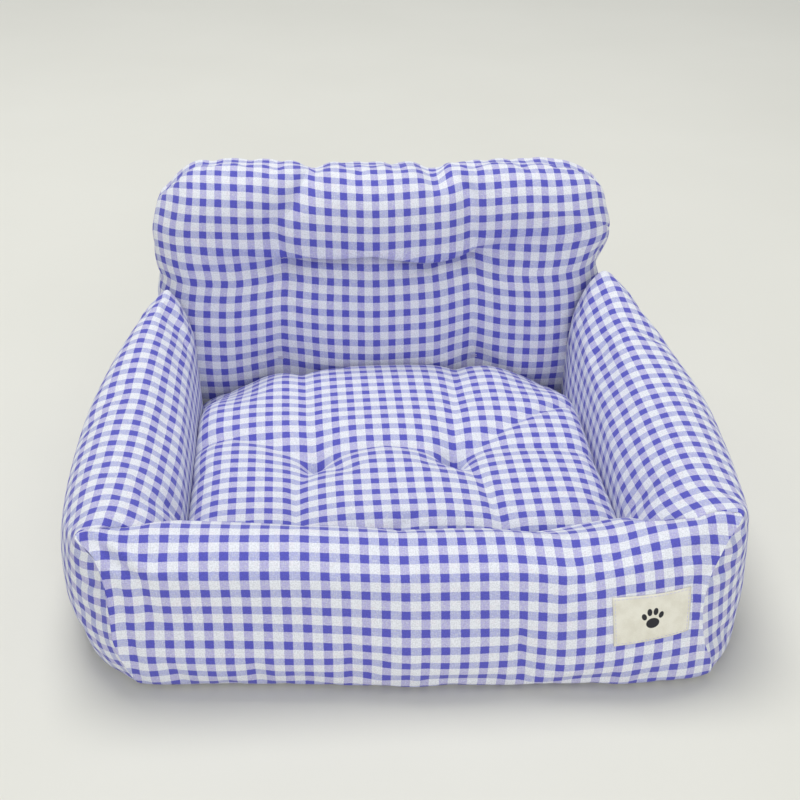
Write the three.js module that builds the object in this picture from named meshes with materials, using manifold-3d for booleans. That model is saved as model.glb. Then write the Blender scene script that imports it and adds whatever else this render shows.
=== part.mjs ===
// Pet cushion bed: a low sofa-shaped bed of padded gingham cloth.
// A front wall, two arms and a tufted backrest stand round a sleeping well on a padded base,
// and a loose tufted seat cushion lies in the well. Millimetres, +Z up, the front faces -Y.
// The origin is the middle of the footprint, on the surface the bed stands on.
import * as THREE from "three";
import { mergeVertices } from "three/addons/utils/BufferGeometryUtils.js";
import Module from "manifold-3d";

// Overall size and the levels of the main edges
const WIDTH = 568;
const DEPTH = 490;
const HEIGHT = 271;
const FRONT_CREST = 127;
const CORNER_PEAK = 139;
const ARM_TIP = 177;

// The sleeping well, whose walls are upright so that the cushion lifts straight out
const WELL_HALF_WIDTH = 186;
const WELL_FRONT = -162;
const WELL_BACK = 152;

// Outer corners of the plan at the height where the walls bulge most
const CORNER_X = 263;
const CORNER_Y = -214;
const ARM_BULGE = WIDTH / 2 - CORNER_X;
const ARM_TIP_X = 250;

// Cloth, filling and the clearances between neighbours
const CLOTH = 1;
const FILL_INSET = 1.5;
const GAP = 0.4;
const WALL_BASE = 1.8;

// Base: non-slip bottom cloth, foam sheet in the well and the lining cloth over it
const BASE_CLOTH_THICKNESS = 1.2;
const BASE_PAD_THICKNESS = 10;
const LINING_THICKNESS = 0.6;
const BASE_FRONT_HALF_WIDTH = 234;
const BASE_BACK_HALF_WIDTH = 208;
const BASE_FRONT = -214;
const BASE_BACK = 214;
const BASE_FRONT_CORNER_CUT = 70;
const BASE_BACK_CORNER_CUT = 26;
const WELL_CORNER_CUT = 14;

// Seat cushion
const CUSHION_HALF_WIDTH = 184.5;
const CUSHION_FRONT = -160.5;
const CUSHION_BACK = 150.5;
const CUSHION_BASE = 14.2;
const CUSHION_TOP = 93;

// Tack threads, where the cushion and the backrest are pulled together through the filling
const TACK_RADIUS = 0.9;
const TACK_CLEARANCE = 0.5;
const CUSHION_TACKS = { left: [-72, -34], right: [51, -33] };
const BACK_TACKS = {
  upper_left: [-97, 183],
  upper_right: [90.5, 183],
  lower_left: [-104, 84],
  lower_right: [94, 80],
};

// Zips: coil zips that close the cushion cover and the backrest cover at the rear
const ZIP_LENGTH = 232;
const ZIP_HEIGHT = 31;
const TAPE_WIDTH = 12.4;
const TAPE_THICKNESS = 0.7;
const CHAIN_WIDTH = 4.4;
const CHAIN_HEIGHT = 1.6;
const REBATE_MARGIN = 3;
const REBATE_END = 16;
const CUSHION_ZIP_Y = 137;
const BACK_ZIP_Y = 229;

// Slider and pull tab
const SLIDER_LENGTH = 10;
const SLIDER_WIDTH = 8.4;
const SLIDER_PLATE = 1;
const BRIDGE_HALF_LENGTH = 4.2;
const BRIDGE_WIDTH = 1.6;
const BRIDGE_BAR = 1.1;
const BRIDGE_CLEAR = 3;
const PIVOT_HEIGHT = 2;
const PULL_BAR = 1.2;
const PULL_EYE_WIDTH = 3;
const PULL_EYE_LENGTH = 4.8;
const PULL_LENGTH = 24;
const PULL_WIDTH = 6.4;

const wasm = await Module();
wasm.setup();

const CLOTH_COLOUR = 0xb9b7e2;
const cloth = (colour = CLOTH_COLOUR) =>
  new THREE.MeshStandardMaterial({ color: colour, roughness: 0.9, metalness: 0 });
const nickel = () =>
  new THREE.MeshStandardMaterial({ color: 0xc9ccd0, roughness: 0.3, metalness: 1 });

// ---- solids and booleans ----

function solid(geometry) {
  const bare = geometry.clone();
  bare.deleteAttribute("normal");
  bare.deleteAttribute("uv");
  const merged = mergeVertices(bare, 1e-4);
  return new wasm.Manifold(
    new wasm.Mesh({
      numProp: 3,
      vertProperties: new Float32Array(merged.attributes.position.array),
      triVerts: new Uint32Array(merged.index.array),
    }),
  );
}

function geometryOf(made) {
  const mesh = made.getMesh();
  const geometry = new THREE.BufferGeometry();
  geometry.setAttribute("position", new THREE.BufferAttribute(mesh.vertProperties, 3));
  geometry.setIndex(new THREE.BufferAttribute(mesh.triVerts, 1));
  geometry.computeVertexNormals();
  return geometry;
}

function box(low, high) {
  const size = high.map((value, i) => value - low[i]);
  const geometry = new THREE.BoxGeometry(...size);
  geometry.translate(...low.map((value, i) => value + size[i] / 2));
  return geometry;
}

const boxSolid = (low, high) => solid(box(low, high));

// A closed solid through a list of rings of points, with a flat cap at each end.
function loft(rings) {
  const count = rings[0].length;
  const points = rings.flat();
  const faces = [];
  for (let r = 0; r + 1 < rings.length; r++) {
    for (let i = 0; i < count; i++) {
      const a = r * count + i;
      const b = r * count + ((i + 1) % count);
      faces.push(a, b, a + count, b, b + count, a + count);
    }
  }
  for (const [ring, flip] of [[0, true], [rings.length - 1, false]]) {
    const centre = new THREE.Vector3();
    rings[ring].forEach((p) => centre.add(p));
    const hub = points.push(centre.divideScalar(count)) - 1;
    for (let i = 0; i < count; i++) {
      const a = ring * count + i;
      const b = ring * count + ((i + 1) % count);
      faces.push(...(flip ? [b, a, hub] : [a, b, hub]));
    }
  }
  const geometry = new THREE.BufferGeometry().setFromPoints(points);
  geometry.setIndex(signedVolume(points, faces) < 0 ? faces.reverse() : faces);
  return geometry;
}

function signedVolume(points, faces) {
  let total = 0;
  const cross = new THREE.Vector3();
  for (let i = 0; i < faces.length; i += 3) {
    cross.crossVectors(points[faces[i + 1]], points[faces[i + 2]]);
    total += points[faces[i]].dot(cross);
  }
  return total;
}

// A flat ring of points moved inwards by a distance, within its own plane.
function insetRing(ring, distance) {
  const area = new THREE.Vector3();
  ring.forEach((p, i) => area.add(new THREE.Vector3().crossVectors(p, ring[(i + 1) % ring.length])));
  area.normalize();
  return ring.map((p, i) => {
    const before = ring[(i + ring.length - 1) % ring.length];
    const after = ring[(i + 1) % ring.length];
    const along = new THREE.Vector3().subVectors(after, before);
    const inward = new THREE.Vector3().crossVectors(area, along).normalize();
    return p.clone().addScaledVector(inward, distance);
  });
}

const power = (value, exponent) => Math.sign(value) * Math.abs(value) ** exponent;
const mix = (a, b, t) => a + (b - a) * t;
const smooth = (t) => t * t * (3 - 2 * t);

// ---- padded walls: the front wall and the arms ----

const WALL_RINGS = 15;
const WALL_POINTS = 20;

// One cross-section of a wall between a plan point on the well side and one outside.
// crest is where the top line lies between them, from 0 on the well side to 1 outside.
function wallSection(inner, outer, height, crest) {
  const ring = [];
  for (let i = 0; i < WALL_POINTS; i++) {
    const angle = (2 * Math.PI * i) / WALL_POINTS;
    const roundness = Math.sin(angle) > 0 ? 2 / 2.5 : 2 / 4.5;
    const across = power(Math.cos(angle), roundness);
    const level = ((power(Math.sin(angle), roundness) + 1) / 2) ** 1.2;
    const narrow = 1.06 - 0.36 * level ** 2;
    const middle = 0.5 * (1 - level ** 2) + mix(0.5, crest, 0.8) * level ** 2;
    const share = THREE.MathUtils.clamp(middle + 0.5 * across * narrow, 0, 1);
    ring.push(
      new THREE.Vector3(
        mix(inner.x, outer.x, share),
        mix(inner.y, outer.y, share),
        mix(WALL_BASE, height, level),
      ),
    );
  }
  return ring;
}

// Section of the front wall at u, from -1 at the left mitre to 1 at the right one.
function frontSection(u) {
  const inner = new THREE.Vector2(u * (WELL_HALF_WIDTH - GAP), WELL_FRONT);
  const edge = Math.abs(u) ** 6;
  const outer = new THREE.Vector2(u * (CORNER_X - GAP), mix(-DEPTH / 2, CORNER_Y, edge));
  return wallSection(inner, outer, mix(FRONT_CREST, CORNER_PEAK, edge), mix(0.45, 0.8, edge));
}

// Section of an arm at v, from 0 at the front mitre to 1 at the backrest.
function armSection(side, v) {
  const inner = new THREE.Vector2(
    side * WELL_HALF_WIDTH,
    mix(WELL_FRONT + GAP, WELL_BACK - GAP, v),
  );
  const bulge = ARM_BULGE * Math.sin(Math.PI * v ** 0.8);
  const taper = (CORNER_X - ARM_TIP_X) * v ** 5;
  const outer = new THREE.Vector2(
    side * (CORNER_X + bulge - taper),
    mix(CORNER_Y + GAP, WELL_BACK - GAP, v),
  );
  const height = mix(CORNER_PEAK, ARM_TIP, v);
  const corner = Math.exp(-v / 0.08);
  return wallSection(inner, outer, height, mix(mix(0.5, 0.75, smooth(v)), 0.8, corner));
}

// Rings of a wall, each moved in from the surface, and the ends moved in along the wall.
function wallRings(section, from, to, length, distance) {
  const step = ((to - from) * distance) / length;
  const rings = [];
  for (let i = 0; i < WALL_RINGS; i++) {
    const even = i / (WALL_RINGS - 1);
    const u = mix(from + step, to - step, mix(even, smooth(even), 0.5));
    const ring = section(u);
    rings.push(distance ? insetRing(ring, distance) : ring);
  }
  return rings;
}

// The sewn cover is a shell with a filling slit underneath, which the base cloth closes.
function shellWithSlit(outer, inner, slit) {
  return geometryOf(solid(outer).subtract(solid(inner)).subtract(slit));
}

const SLIT_LENGTH = 120;
const SLIT_WIDTH = 10;
const ARM_SLIT_INSET = 22;

function frontWall() {
  const rings = (distance) => wallRings(frontSection, -1, 1, 2 * WELL_HALF_WIDTH, distance);
  const middle = (WELL_FRONT - DEPTH / 2) / 2;
  const slit = boxSolid(
    [-SLIT_LENGTH / 2, middle - SLIT_WIDTH / 2, 0],
    [SLIT_LENGTH / 2, middle + SLIT_WIDTH / 2, WALL_BASE + 2 * CLOTH],
  );
  return {
    cover: shellWithSlit(loft(rings(0)), loft(rings(CLOTH)), slit),
    fill: loft(rings(FILL_INSET)),
  };
}

function arm(side) {
  const length = WELL_BACK - WELL_FRONT;
  const rings = (distance) => wallRings((v) => armSection(side, v), 0, 1, length, distance);
  const middle = side * (WELL_HALF_WIDTH + ARM_SLIT_INSET);
  const slit = boxSolid(
    [middle - SLIT_WIDTH / 2, -SLIT_LENGTH / 2, 0],
    [middle + SLIT_WIDTH / 2, SLIT_LENGTH / 2, WALL_BASE + 2 * CLOTH],
  );
  return {
    cover: shellWithSlit(loft(rings(0)), loft(rings(CLOTH)), slit),
    fill: loft(rings(FILL_INSET)),
  };
}

// ---- pillow shapes: the backrest and the seat cushion ----

const PILLOW_RINGS = 13;
const PILLOW_POINTS = 26;

// A pillow of level rings. shape(t) gives the half-width, and the front and back of the ring
// at t, from 0 at the bottom to 1 at the top, before the edges are rounded.
// corner is the power of the plan's rounding, and base and crown those of the lower and upper edges.
function pillow(shape, bottom, top, distance, { corner, base, crown }) {
  const rings = [];
  const middle = (bottom + top) / 2;
  const halfHeight = (top - bottom) / 2 - distance;
  for (let i = 0; i < PILLOW_RINGS; i++) {
    const tilt = mix(-0.44, 0.46, i / (PILLOW_RINGS - 1)) * Math.PI;
    const edge = 2 / (tilt < 0 ? base : crown);
    const z = middle + halfHeight * power(Math.sin(tilt), edge);
    const round = Math.cos(tilt) ** edge;
    const { halfWidth, front, back } = shape((z - bottom) / (top - bottom));
    const centre = (front + back) / 2;
    const halfDepth = ((back - front) / 2 - distance) * round;
    const width = halfWidth - distance - (1 - round) * ((back - front) / 2);
    const ring = [];
    for (let k = 0; k < PILLOW_POINTS; k++) {
      const angle = (2 * Math.PI * (k + 0.5)) / PILLOW_POINTS;
      ring.push(
        new THREE.Vector3(
          width * power(Math.cos(angle), 2 / corner),
          centre + halfDepth * power(Math.sin(angle), 2 / corner),
          z,
        ),
      );
    }
    rings.push(ring);
  }
  return loft(rings);
}

// The backrest leans back: its face is upright beside the cushion and slopes away above it.
function backrestShape(t) {
  const lean = smooth(THREE.MathUtils.clamp((t - 0.3) / 0.7, 0, 1));
  return {
    halfWidth: mix(226, 222, t) + 6 * Math.sin(Math.PI * t),
    front: WELL_BACK + GAP + 22 * lean,
    back: mix(232, DEPTH / 2, Math.sin((Math.PI / 2) * Math.min(1, t / 0.7))),
  };
}

const cushionShape = () => ({
  halfWidth: CUSHION_HALF_WIDTH,
  front: CUSHION_FRONT,
  back: CUSHION_BACK,
});

const tackHole = (rod) => solid(rod(TACK_RADIUS + TACK_CLEARANCE));

function uprightRod(x, y, low, high, radius) {
  const rod = new THREE.CylinderGeometry(radius, radius, high - low, 8);
  rod.rotateX(Math.PI / 2);
  rod.translate(x, y, (low + high) / 2);
  return rod;
}

function levelRod(x, z, front, back, radius) {
  const rod = new THREE.CylinderGeometry(radius, radius, back - front, 8);
  rod.translate(x, (front + back) / 2, z);
  return rod;
}

const REBATE_LOW = ZIP_HEIGHT - TAPE_WIDTH - REBATE_MARGIN;
const REBATE_HIGH = ZIP_HEIGHT + TAPE_WIDTH + REBATE_MARGIN;
const REBATE_HALF = ZIP_LENGTH / 2 + REBATE_END;

// The flat strip at the rear that carries the zip, cut out of a pillow.
const rebate = (y, distance) =>
  boxSolid(
    [-REBATE_HALF - distance, y - distance, REBATE_LOW - distance],
    [REBATE_HALF + distance, DEPTH, REBATE_HIGH + distance],
  );

const zipMouth = (y) =>
  boxSolid(
    [-ZIP_LENGTH / 2 + 2, y - 4, ZIP_HEIGHT - TAPE_WIDTH + 3],
    [ZIP_LENGTH / 2 - 2, y + 2, ZIP_HEIGHT + TAPE_WIDTH - 3],
  );

// Cover and filling of a pillow with a zip at the rear and tack threads through it.
function zippedPillow(makePillow, zipY, rods) {
  const body = (distance) => solid(makePillow(distance)).subtract(rebate(zipY, distance));
  let cover = body(0).subtract(body(CLOTH)).subtract(zipMouth(zipY));
  let fill = body(FILL_INSET);
  for (const rod of rods) {
    cover = cover.subtract(tackHole(rod));
    fill = fill.subtract(tackHole(rod));
  }
  return { cover: geometryOf(cover), fill: geometryOf(fill) };
}

const BACK_EDGES = { corner: 7, base: 9, crown: 3.2 };
const CUSHION_EDGES = { corner: 8, base: 4, crown: 3 };

const backPillow = (distance) =>
  pillow(backrestShape, WALL_BASE, HEIGHT, distance, BACK_EDGES);
const cushionPillow = (distance) =>
  pillow(cushionShape, CUSHION_BASE, CUSHION_TOP, distance, CUSHION_EDGES);

const backRod = ([x, z]) => (radius) => levelRod(x, z, WELL_BACK - 20, DEPTH / 2 + 20, radius);
const cushionRod = ([x, y]) => (radius) => uprightRod(x, y, 0, CUSHION_TOP + 20, radius);

// A tack thread fills its hole from one face of the pillow to the other.
function tackThread(rod, pillowGeometry) {
  return geometryOf(solid(rod(TACK_RADIUS)).intersect(solid(pillowGeometry)));
}

// ---- base ----

// A flat plate whose corners are curved from one cut distance before each to the same after it.
function roundedPlate(corners, cuts, low, high) {
  const outline = new THREE.Shape();
  const count = corners.length;
  for (let i = 0; i < count; i++) {
    const corner = corners[i];
    const before = corners[(i + count - 1) % count];
    const after = corners[(i + 1) % count];
    const start = towards(corner, before, cuts[i]);
    const end = towards(corner, after, cuts[i]);
    if (i === 0) {
      outline.moveTo(start.x, start.y);
    } else {
      outline.lineTo(start.x, start.y);
    }
    outline.quadraticCurveTo(corner.x, corner.y, end.x, end.y);
  }
  outline.closePath();
  const plate = new THREE.ExtrudeGeometry(outline, {
    depth: high - low,
    bevelEnabled: false,
    curveSegments: 10,
  });
  plate.translate(0, 0, low);
  return plate;
}

// The point at the given distance from a towards b.
function towards(a, b, distance) {
  const step = b.clone().sub(a);
  return a.clone().add(step.setLength(distance));
}

// Corners of a plate that is symmetric about the middle plane, from the front left round.
function plateCorners(frontHalfWidth, backHalfWidth, front, back) {
  return [
    new THREE.Vector2(-frontHalfWidth, front),
    new THREE.Vector2(frontHalfWidth, front),
    new THREE.Vector2(backHalfWidth, back),
    new THREE.Vector2(-backHalfWidth, back),
  ];
}

function baseCloth() {
  const corners = plateCorners(BASE_FRONT_HALF_WIDTH, BASE_BACK_HALF_WIDTH, BASE_FRONT, BASE_BACK);
  const cuts = [
    BASE_FRONT_CORNER_CUT,
    BASE_FRONT_CORNER_CUT,
    BASE_BACK_CORNER_CUT,
    BASE_BACK_CORNER_CUT,
  ];
  return roundedPlate(corners, cuts, 0, BASE_CLOTH_THICKNESS);
}

function wellSheet(low, thickness) {
  const halfWidth = WELL_HALF_WIDTH - GAP;
  const front = WELL_FRONT + GAP;
  const back = WELL_BACK - GAP;
  const corners = plateCorners(halfWidth, halfWidth, front, back);
  const cuts = corners.map(() => WELL_CORNER_CUT);
  return roundedPlate(corners, cuts, low, low + thickness);
}

// ---- patches sewn flat on a padded surface ----

// A thin patch over the grid point(a, b), a and b from 0 to 1, lifted along the face normal.
function patch(point, columns, rows, lift, thickness) {
  const layer = (height) => {
    const grid = [];
    for (let j = 0; j <= rows; j++) {
      for (let i = 0; i <= columns; i++) {
        const a = i / columns;
        const b = j / rows;
        const alongA = point(a + 0.02, b).sub(point(a - 0.02, b));
        const alongB = point(a, b + 0.02).sub(point(a, b - 0.02));
        const normal = alongA.cross(alongB).normalize();
        grid.push(point(a, b).addScaledVector(normal, height));
      }
    }
    return grid;
  };
  const points = [...layer(lift), ...layer(lift + thickness)];
  const row = columns + 1;
  const top = row * (rows + 1);
  const faces = [];
  for (let j = 0; j < rows; j++) {
    for (let i = 0; i < columns; i++) {
      const a = j * row + i;
      faces.push(a, a + row, a + 1, a + 1, a + row, a + row + 1);
      faces.push(top + a, top + a + 1, top + a + row, top + a + 1, top + a + row + 1, top + a + row);
    }
  }
  const side = (a, b) => faces.push(a, b, top + a, b, top + b, top + a);
  for (let i = 0; i < columns; i++) {
    side(i, i + 1);
    side(rows * row + i + 1, rows * row + i);
  }
  for (let j = 0; j < rows; j++) {
    side((j + 1) * row, j * row);
    side(j * row + columns, (j + 1) * row + columns);
  }
  const geometry = new THREE.BufferGeometry().setFromPoints(points);
  geometry.setIndex(signedVolume(points, faces) < 0 ? faces.reverse() : faces);
  return geometry;
}

// A point on the outer face of the front wall in the section at u, at height z.
function frontFacePoint(u, z) {
  const ring = frontSection(u);
  const quarter = WALL_POINTS / 4;
  const face = ring.slice(-quarter).concat(ring.slice(0, quarter + 1));
  const above = face.findIndex((p) => p.z >= z);
  const [low, high] = [face[above - 1], face[above]];
  return low.clone().lerp(high, (z - low.z) / (high.z - low.z));
}

const LABEL = { width: 70, height: 44, x: 187, z: 66, thickness: 0.8 };
const CARE_LABEL = { width: 34, height: 22, x: 150, z: 70, thickness: 0.5 };

function frontLabel() {
  const point = (a, b) =>
    frontFacePoint(
      (LABEL.x + (a - 0.5) * LABEL.width) / CORNER_X,
      LABEL.z + (b - 0.5) * LABEL.height,
    );
  return patch(point, 10, 6, 0.9, LABEL.thickness);
}

// A plain blank care label that lies flat on the back of the backrest, beside the zip.
function careLabel() {
  const point = (a, b) => {
    const z = CARE_LABEL.z + (b - 0.5) * CARE_LABEL.height;
    const { back } = backrestShape((z - WALL_BASE) / (HEIGHT - WALL_BASE));
    return new THREE.Vector3(CARE_LABEL.x + (a - 0.5) * CARE_LABEL.width, back, z);
  };
  return patch(point, 2, 4, -0.5 - CARE_LABEL.thickness, CARE_LABEL.thickness);
}

// ---- zips, drawn flat: X along the zip, Y across it and Z out of the cloth ----

function zipTape(side) {
  const near = side * 0.2;
  const far = side * TAPE_WIDTH;
  return box(
    [-ZIP_LENGTH / 2, Math.min(near, far), GAP],
    [ZIP_LENGTH / 2, Math.max(near, far), GAP + TAPE_THICKNESS],
  );
}

const CHAIN_LOW = 2 * GAP + TAPE_THICKNESS;
const CHAIN_TOP = CHAIN_LOW + CHAIN_HEIGHT;
const PLATE_LOW = CHAIN_TOP + GAP;
const PLATE_TOP = PLATE_LOW + SLIDER_PLATE;
const PIVOT_Z = PLATE_TOP + PIVOT_HEIGHT;

const zipChain = () =>
  box(
    [-ZIP_LENGTH / 2 + 2, -CHAIN_WIDTH / 2, CHAIN_LOW],
    [ZIP_LENGTH / 2 - 2, CHAIN_WIDTH / 2, CHAIN_TOP],
  );

// The slider is a pointed plate with two flanges down beside the coil and a bridge for the pull.
function sliderBody() {
  const half = SLIDER_LENGTH / 2;
  const outline = new THREE.Shape();
  outline.moveTo(-half, -SLIDER_WIDTH / 2 + 1.4);
  outline.lineTo(1, -SLIDER_WIDTH / 2);
  outline.absarc(1, 0, SLIDER_WIDTH / 2, -Math.PI / 2, Math.PI / 2, false);
  outline.lineTo(-half, SLIDER_WIDTH / 2 - 1.4);
  const plate = new THREE.ExtrudeGeometry(outline, {
    depth: SLIDER_PLATE,
    bevelEnabled: false,
    curveSegments: 8,
  });
  plate.translate(0, 0, PLATE_LOW);
  let made = solid(plate);
  const flangeLow = GAP + TAPE_THICKNESS + 0.3;
  const inside = CHAIN_WIDTH / 2 + 0.3;
  for (const side of [-1, 1]) {
    const edges = [side * inside, side * (inside + 0.5)];
    made = made.add(
      boxSolid(
        [-half + 1, Math.min(...edges), flangeLow],
        [half - 2, Math.max(...edges), PLATE_LOW + SLIDER_PLATE / 2],
      ),
    );
    const post = [side * BRIDGE_HALF_LENGTH, side * (BRIDGE_HALF_LENGTH - BRIDGE_BAR)];
    made = made.add(
      boxSolid(
        [Math.min(...post), -BRIDGE_WIDTH / 2, PLATE_LOW + SLIDER_PLATE / 2],
        [Math.max(...post), BRIDGE_WIDTH / 2, PLATE_TOP + BRIDGE_CLEAR + BRIDGE_BAR / 2],
      ),
    );
  }
  const bar = boxSolid(
    [-BRIDGE_HALF_LENGTH, -BRIDGE_WIDTH / 2, PLATE_TOP + BRIDGE_CLEAR],
    [BRIDGE_HALF_LENGTH, BRIDGE_WIDTH / 2, PLATE_TOP + BRIDGE_CLEAR + BRIDGE_BAR],
  );
  return geometryOf(made.add(bar));
}

// The pull tab lies back along the zip and turns about the cross bar of its eye.
function pullTab() {
  const barHalf = PULL_BAR / 2;
  const outline = new THREE.Shape();
  outline.moveTo(barHalf, -PULL_EYE_WIDTH / 2 - PULL_BAR);
  outline.lineTo(barHalf, PULL_EYE_WIDTH / 2 + PULL_BAR);
  outline.lineTo(-PULL_EYE_LENGTH - 2, PULL_WIDTH / 2);
  outline.lineTo(-PULL_LENGTH + PULL_WIDTH / 2, PULL_WIDTH / 2);
  outline.absarc(-PULL_LENGTH + PULL_WIDTH / 2, 0, PULL_WIDTH / 2, Math.PI / 2, 1.5 * Math.PI, false);
  outline.lineTo(-PULL_EYE_LENGTH - 2, -PULL_WIDTH / 2);
  const eye = new THREE.Path();
  eye.moveTo(-barHalf, -PULL_EYE_WIDTH / 2);
  eye.lineTo(-PULL_EYE_LENGTH - barHalf, -PULL_EYE_WIDTH / 2);
  eye.lineTo(-PULL_EYE_LENGTH - barHalf, PULL_EYE_WIDTH / 2);
  eye.lineTo(-barHalf, PULL_EYE_WIDTH / 2);
  outline.holes.push(eye);
  const tab = new THREE.ExtrudeGeometry(outline, {
    depth: PULL_BAR,
    bevelEnabled: false,
    curveSegments: 6,
  });
  tab.translate(0, 0, PIVOT_Z - barHalf);
  return tab;
}

// ---- assembly ----

const root = new THREE.Group();

function add(parent, name, geometry, material) {
  const mesh = new THREE.Mesh(geometry, material);
  mesh.name = name;
  parent.add(mesh);
}

// A zip at the rear, turned so that its outer side faces +Y, with the slider at the left end.
function addZip(prefix, y) {
  const zip = new THREE.Group();
  zip.rotation.x = -Math.PI / 2;
  zip.position.set(0, y, ZIP_HEIGHT);
  add(zip, prefix + "_zip_tape_upper", zipTape(-1), cloth(0x8b8ad0));
  add(zip, prefix + "_zip_tape_lower", zipTape(1), cloth(0x8b8ad0));
  add(zip, prefix + "_zip_coil", zipChain(), cloth(0x7f7ec6));
  const carriage = new THREE.Group();
  carriage.position.x = -ZIP_LENGTH / 2 + 12;
  add(carriage, prefix + "_zip_slider", sliderBody(), nickel());
  add(carriage, prefix + "_zip_pull", pullTab(), nickel());
  zip.add(carriage);
  root.add(zip);
}

add(root, "base_cloth", baseCloth(), cloth(0x9a98a8));
add(root, "base_pad", wellSheet(WALL_BASE, BASE_PAD_THICKNESS), cloth(0xf2f0ea));
const liningLevel = WALL_BASE + BASE_PAD_THICKNESS + GAP;
add(root, "well_lining", wellSheet(liningLevel, LINING_THICKNESS), cloth(0xe6e6ec));

const front = frontWall();
add(root, "front_wall_cover", front.cover, cloth());
add(root, "front_wall_fill", front.fill, cloth(0xf7f7f4));
for (const [name, side] of [["left", -1], ["right", 1]]) {
  const made = arm(side);
  add(root, name + "_arm_cover", made.cover, cloth());
  add(root, name + "_arm_fill", made.fill, cloth(0xf7f7f4));
}

const backRods = Object.values(BACK_TACKS).map(backRod);
const backrest = zippedPillow(backPillow, BACK_ZIP_Y, backRods);
add(root, "backrest_cover", backrest.cover, cloth());
add(root, "backrest_fill", backrest.fill, cloth(0xf7f7f4));
for (const [name, place] of Object.entries(BACK_TACKS)) {
  add(root, "backrest_tack_" + name, tackThread(backRod(place), backPillow(0)), cloth(0xd9d9ee));
}
addZip("backrest", BACK_ZIP_Y);

const cushionRods = Object.values(CUSHION_TACKS).map(cushionRod);
const cushion = zippedPillow(cushionPillow, CUSHION_ZIP_Y, cushionRods);
add(root, "cushion_cover", cushion.cover, cloth());
add(root, "cushion_fill", cushion.fill, cloth(0xf7f7f4));
for (const [name, place] of Object.entries(CUSHION_TACKS)) {
  add(root, "cushion_tack_" + name, tackThread(cushionRod(place), cushionPillow(0)), cloth(0xd9d9ee));
}
addZip("cushion", CUSHION_ZIP_Y);

add(root, "front_label", frontLabel(), cloth(0xf1ede2));
add(root, "care_label", careLabel(), cloth(0xfafafa));

export default root;
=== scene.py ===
"""Pet cushion bed in gingham cotton: a front wall, two arms and a tufted backrest round a
tufted seat cushion. Padded pieces are grid meshes that carry their cloth's own flat
coordinates, so that the check follows the cut of each panel, and are inflated as cloth."""

import math

import bpy
import numpy as np
from mathutils import Matrix, Vector
from mathutils.bvhtree import BVHTree
from mathutils.kdtree import KDTree


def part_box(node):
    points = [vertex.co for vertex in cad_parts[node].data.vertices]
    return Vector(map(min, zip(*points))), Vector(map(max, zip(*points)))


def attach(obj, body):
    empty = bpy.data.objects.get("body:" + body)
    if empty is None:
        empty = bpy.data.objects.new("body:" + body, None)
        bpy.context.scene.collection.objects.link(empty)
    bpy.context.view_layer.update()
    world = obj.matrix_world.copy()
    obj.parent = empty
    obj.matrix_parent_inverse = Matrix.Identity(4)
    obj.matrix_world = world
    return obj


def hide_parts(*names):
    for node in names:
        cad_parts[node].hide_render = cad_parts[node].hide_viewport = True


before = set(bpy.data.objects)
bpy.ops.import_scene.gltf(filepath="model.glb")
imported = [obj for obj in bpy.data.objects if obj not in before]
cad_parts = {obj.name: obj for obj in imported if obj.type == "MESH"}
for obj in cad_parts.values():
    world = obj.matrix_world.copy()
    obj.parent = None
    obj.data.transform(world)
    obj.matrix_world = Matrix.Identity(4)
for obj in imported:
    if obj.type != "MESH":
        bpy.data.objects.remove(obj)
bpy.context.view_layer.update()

MM = 0.001
CHECK = 15.0  # one repeat of the gingham, mm

def node_box(name):
    """The low and high corners of a CAD node's box, mm."""
    low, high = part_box(name)
    return np.array(low) / MM, np.array(high) / MM


# The well's sides and the cushion's box, from the CAD model
CUSHION_LOW, CUSHION_HIGH = node_box("cushion_cover")
WELL_X = node_box("right_arm_cover")[0][0]
WELL_FRONT = node_box("front_wall_cover")[1][1]
WELL_BACK = node_box("backrest_cover")[0][1]


# ---- curves and grids ----


def catmull(points, t):
    """A smooth curve through the points at the parameters t, from 0 to len(points) - 1."""
    points = np.asarray(points, float)
    last = len(points) - 1
    t = np.clip(np.asarray(t, float), 0, last)
    i = np.minimum(t.astype(int), last - 1)
    f = (t - i).reshape((-1,) + (1,) * (points.ndim - 1))
    p0, p1 = points[np.maximum(i - 1, 0)], points[i]
    p2, p3 = points[i + 1], points[np.minimum(i + 2, last)]
    return 0.5 * (
        2 * p1
        + (p2 - p0) * f
        + (2 * p0 - 5 * p1 + 4 * p2 - p3) * f**2
        + (3 * p1 - p0 - 3 * p2 + p3) * f**3
    )


def arc_length(points):
    """The length along a line of points, from 0 at its first."""
    return np.concatenate([[0], np.cumsum(np.linalg.norm(np.diff(points, axis=0), axis=1))])


def ring_at(controls, t):
    """A smooth closed ring through the controls at the parameters t."""
    controls = np.asarray(controls, float)
    wrapped = np.concatenate([controls[-2:], controls, controls[:3]])
    return catmull(wrapped, t + 2)


def even_spans(controls, count):
    """Parameters that spread count points evenly by length round a closed ring of controls."""
    fine = 40 * len(controls)
    ring = ring_at(controls, np.arange(fine) * len(controls) / fine)
    step = np.linalg.norm(np.roll(ring, -1, 0) - ring, axis=1)
    along = np.concatenate([[0], np.cumsum(step)])
    at = np.linspace(0, along[-1], count, endpoint=False)
    return np.interp(at, along, np.arange(fine + 1) * len(controls) / fine)


def smooth(t):
    t = np.clip(t, 0, 1)
    return t * t * (3 - 2 * t)


def groove(x, y, line, width):
    """How near the points are to a line of places: 1 on it, falling to 0 over the width."""
    best = np.full(x.shape, np.inf)
    for (ax, ay), (bx, by) in zip(line[:-1], line[1:]):
        dx, dy = bx - ax, by - ay
        t = np.clip(((x - ax) * dx + (y - ay) * dy) / (dx * dx + dy * dy), 0, 1)
        best = np.minimum(best, np.hypot(x - ax - t * dx, y - ay - t * dy))
    return np.exp(-best / width)


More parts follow.
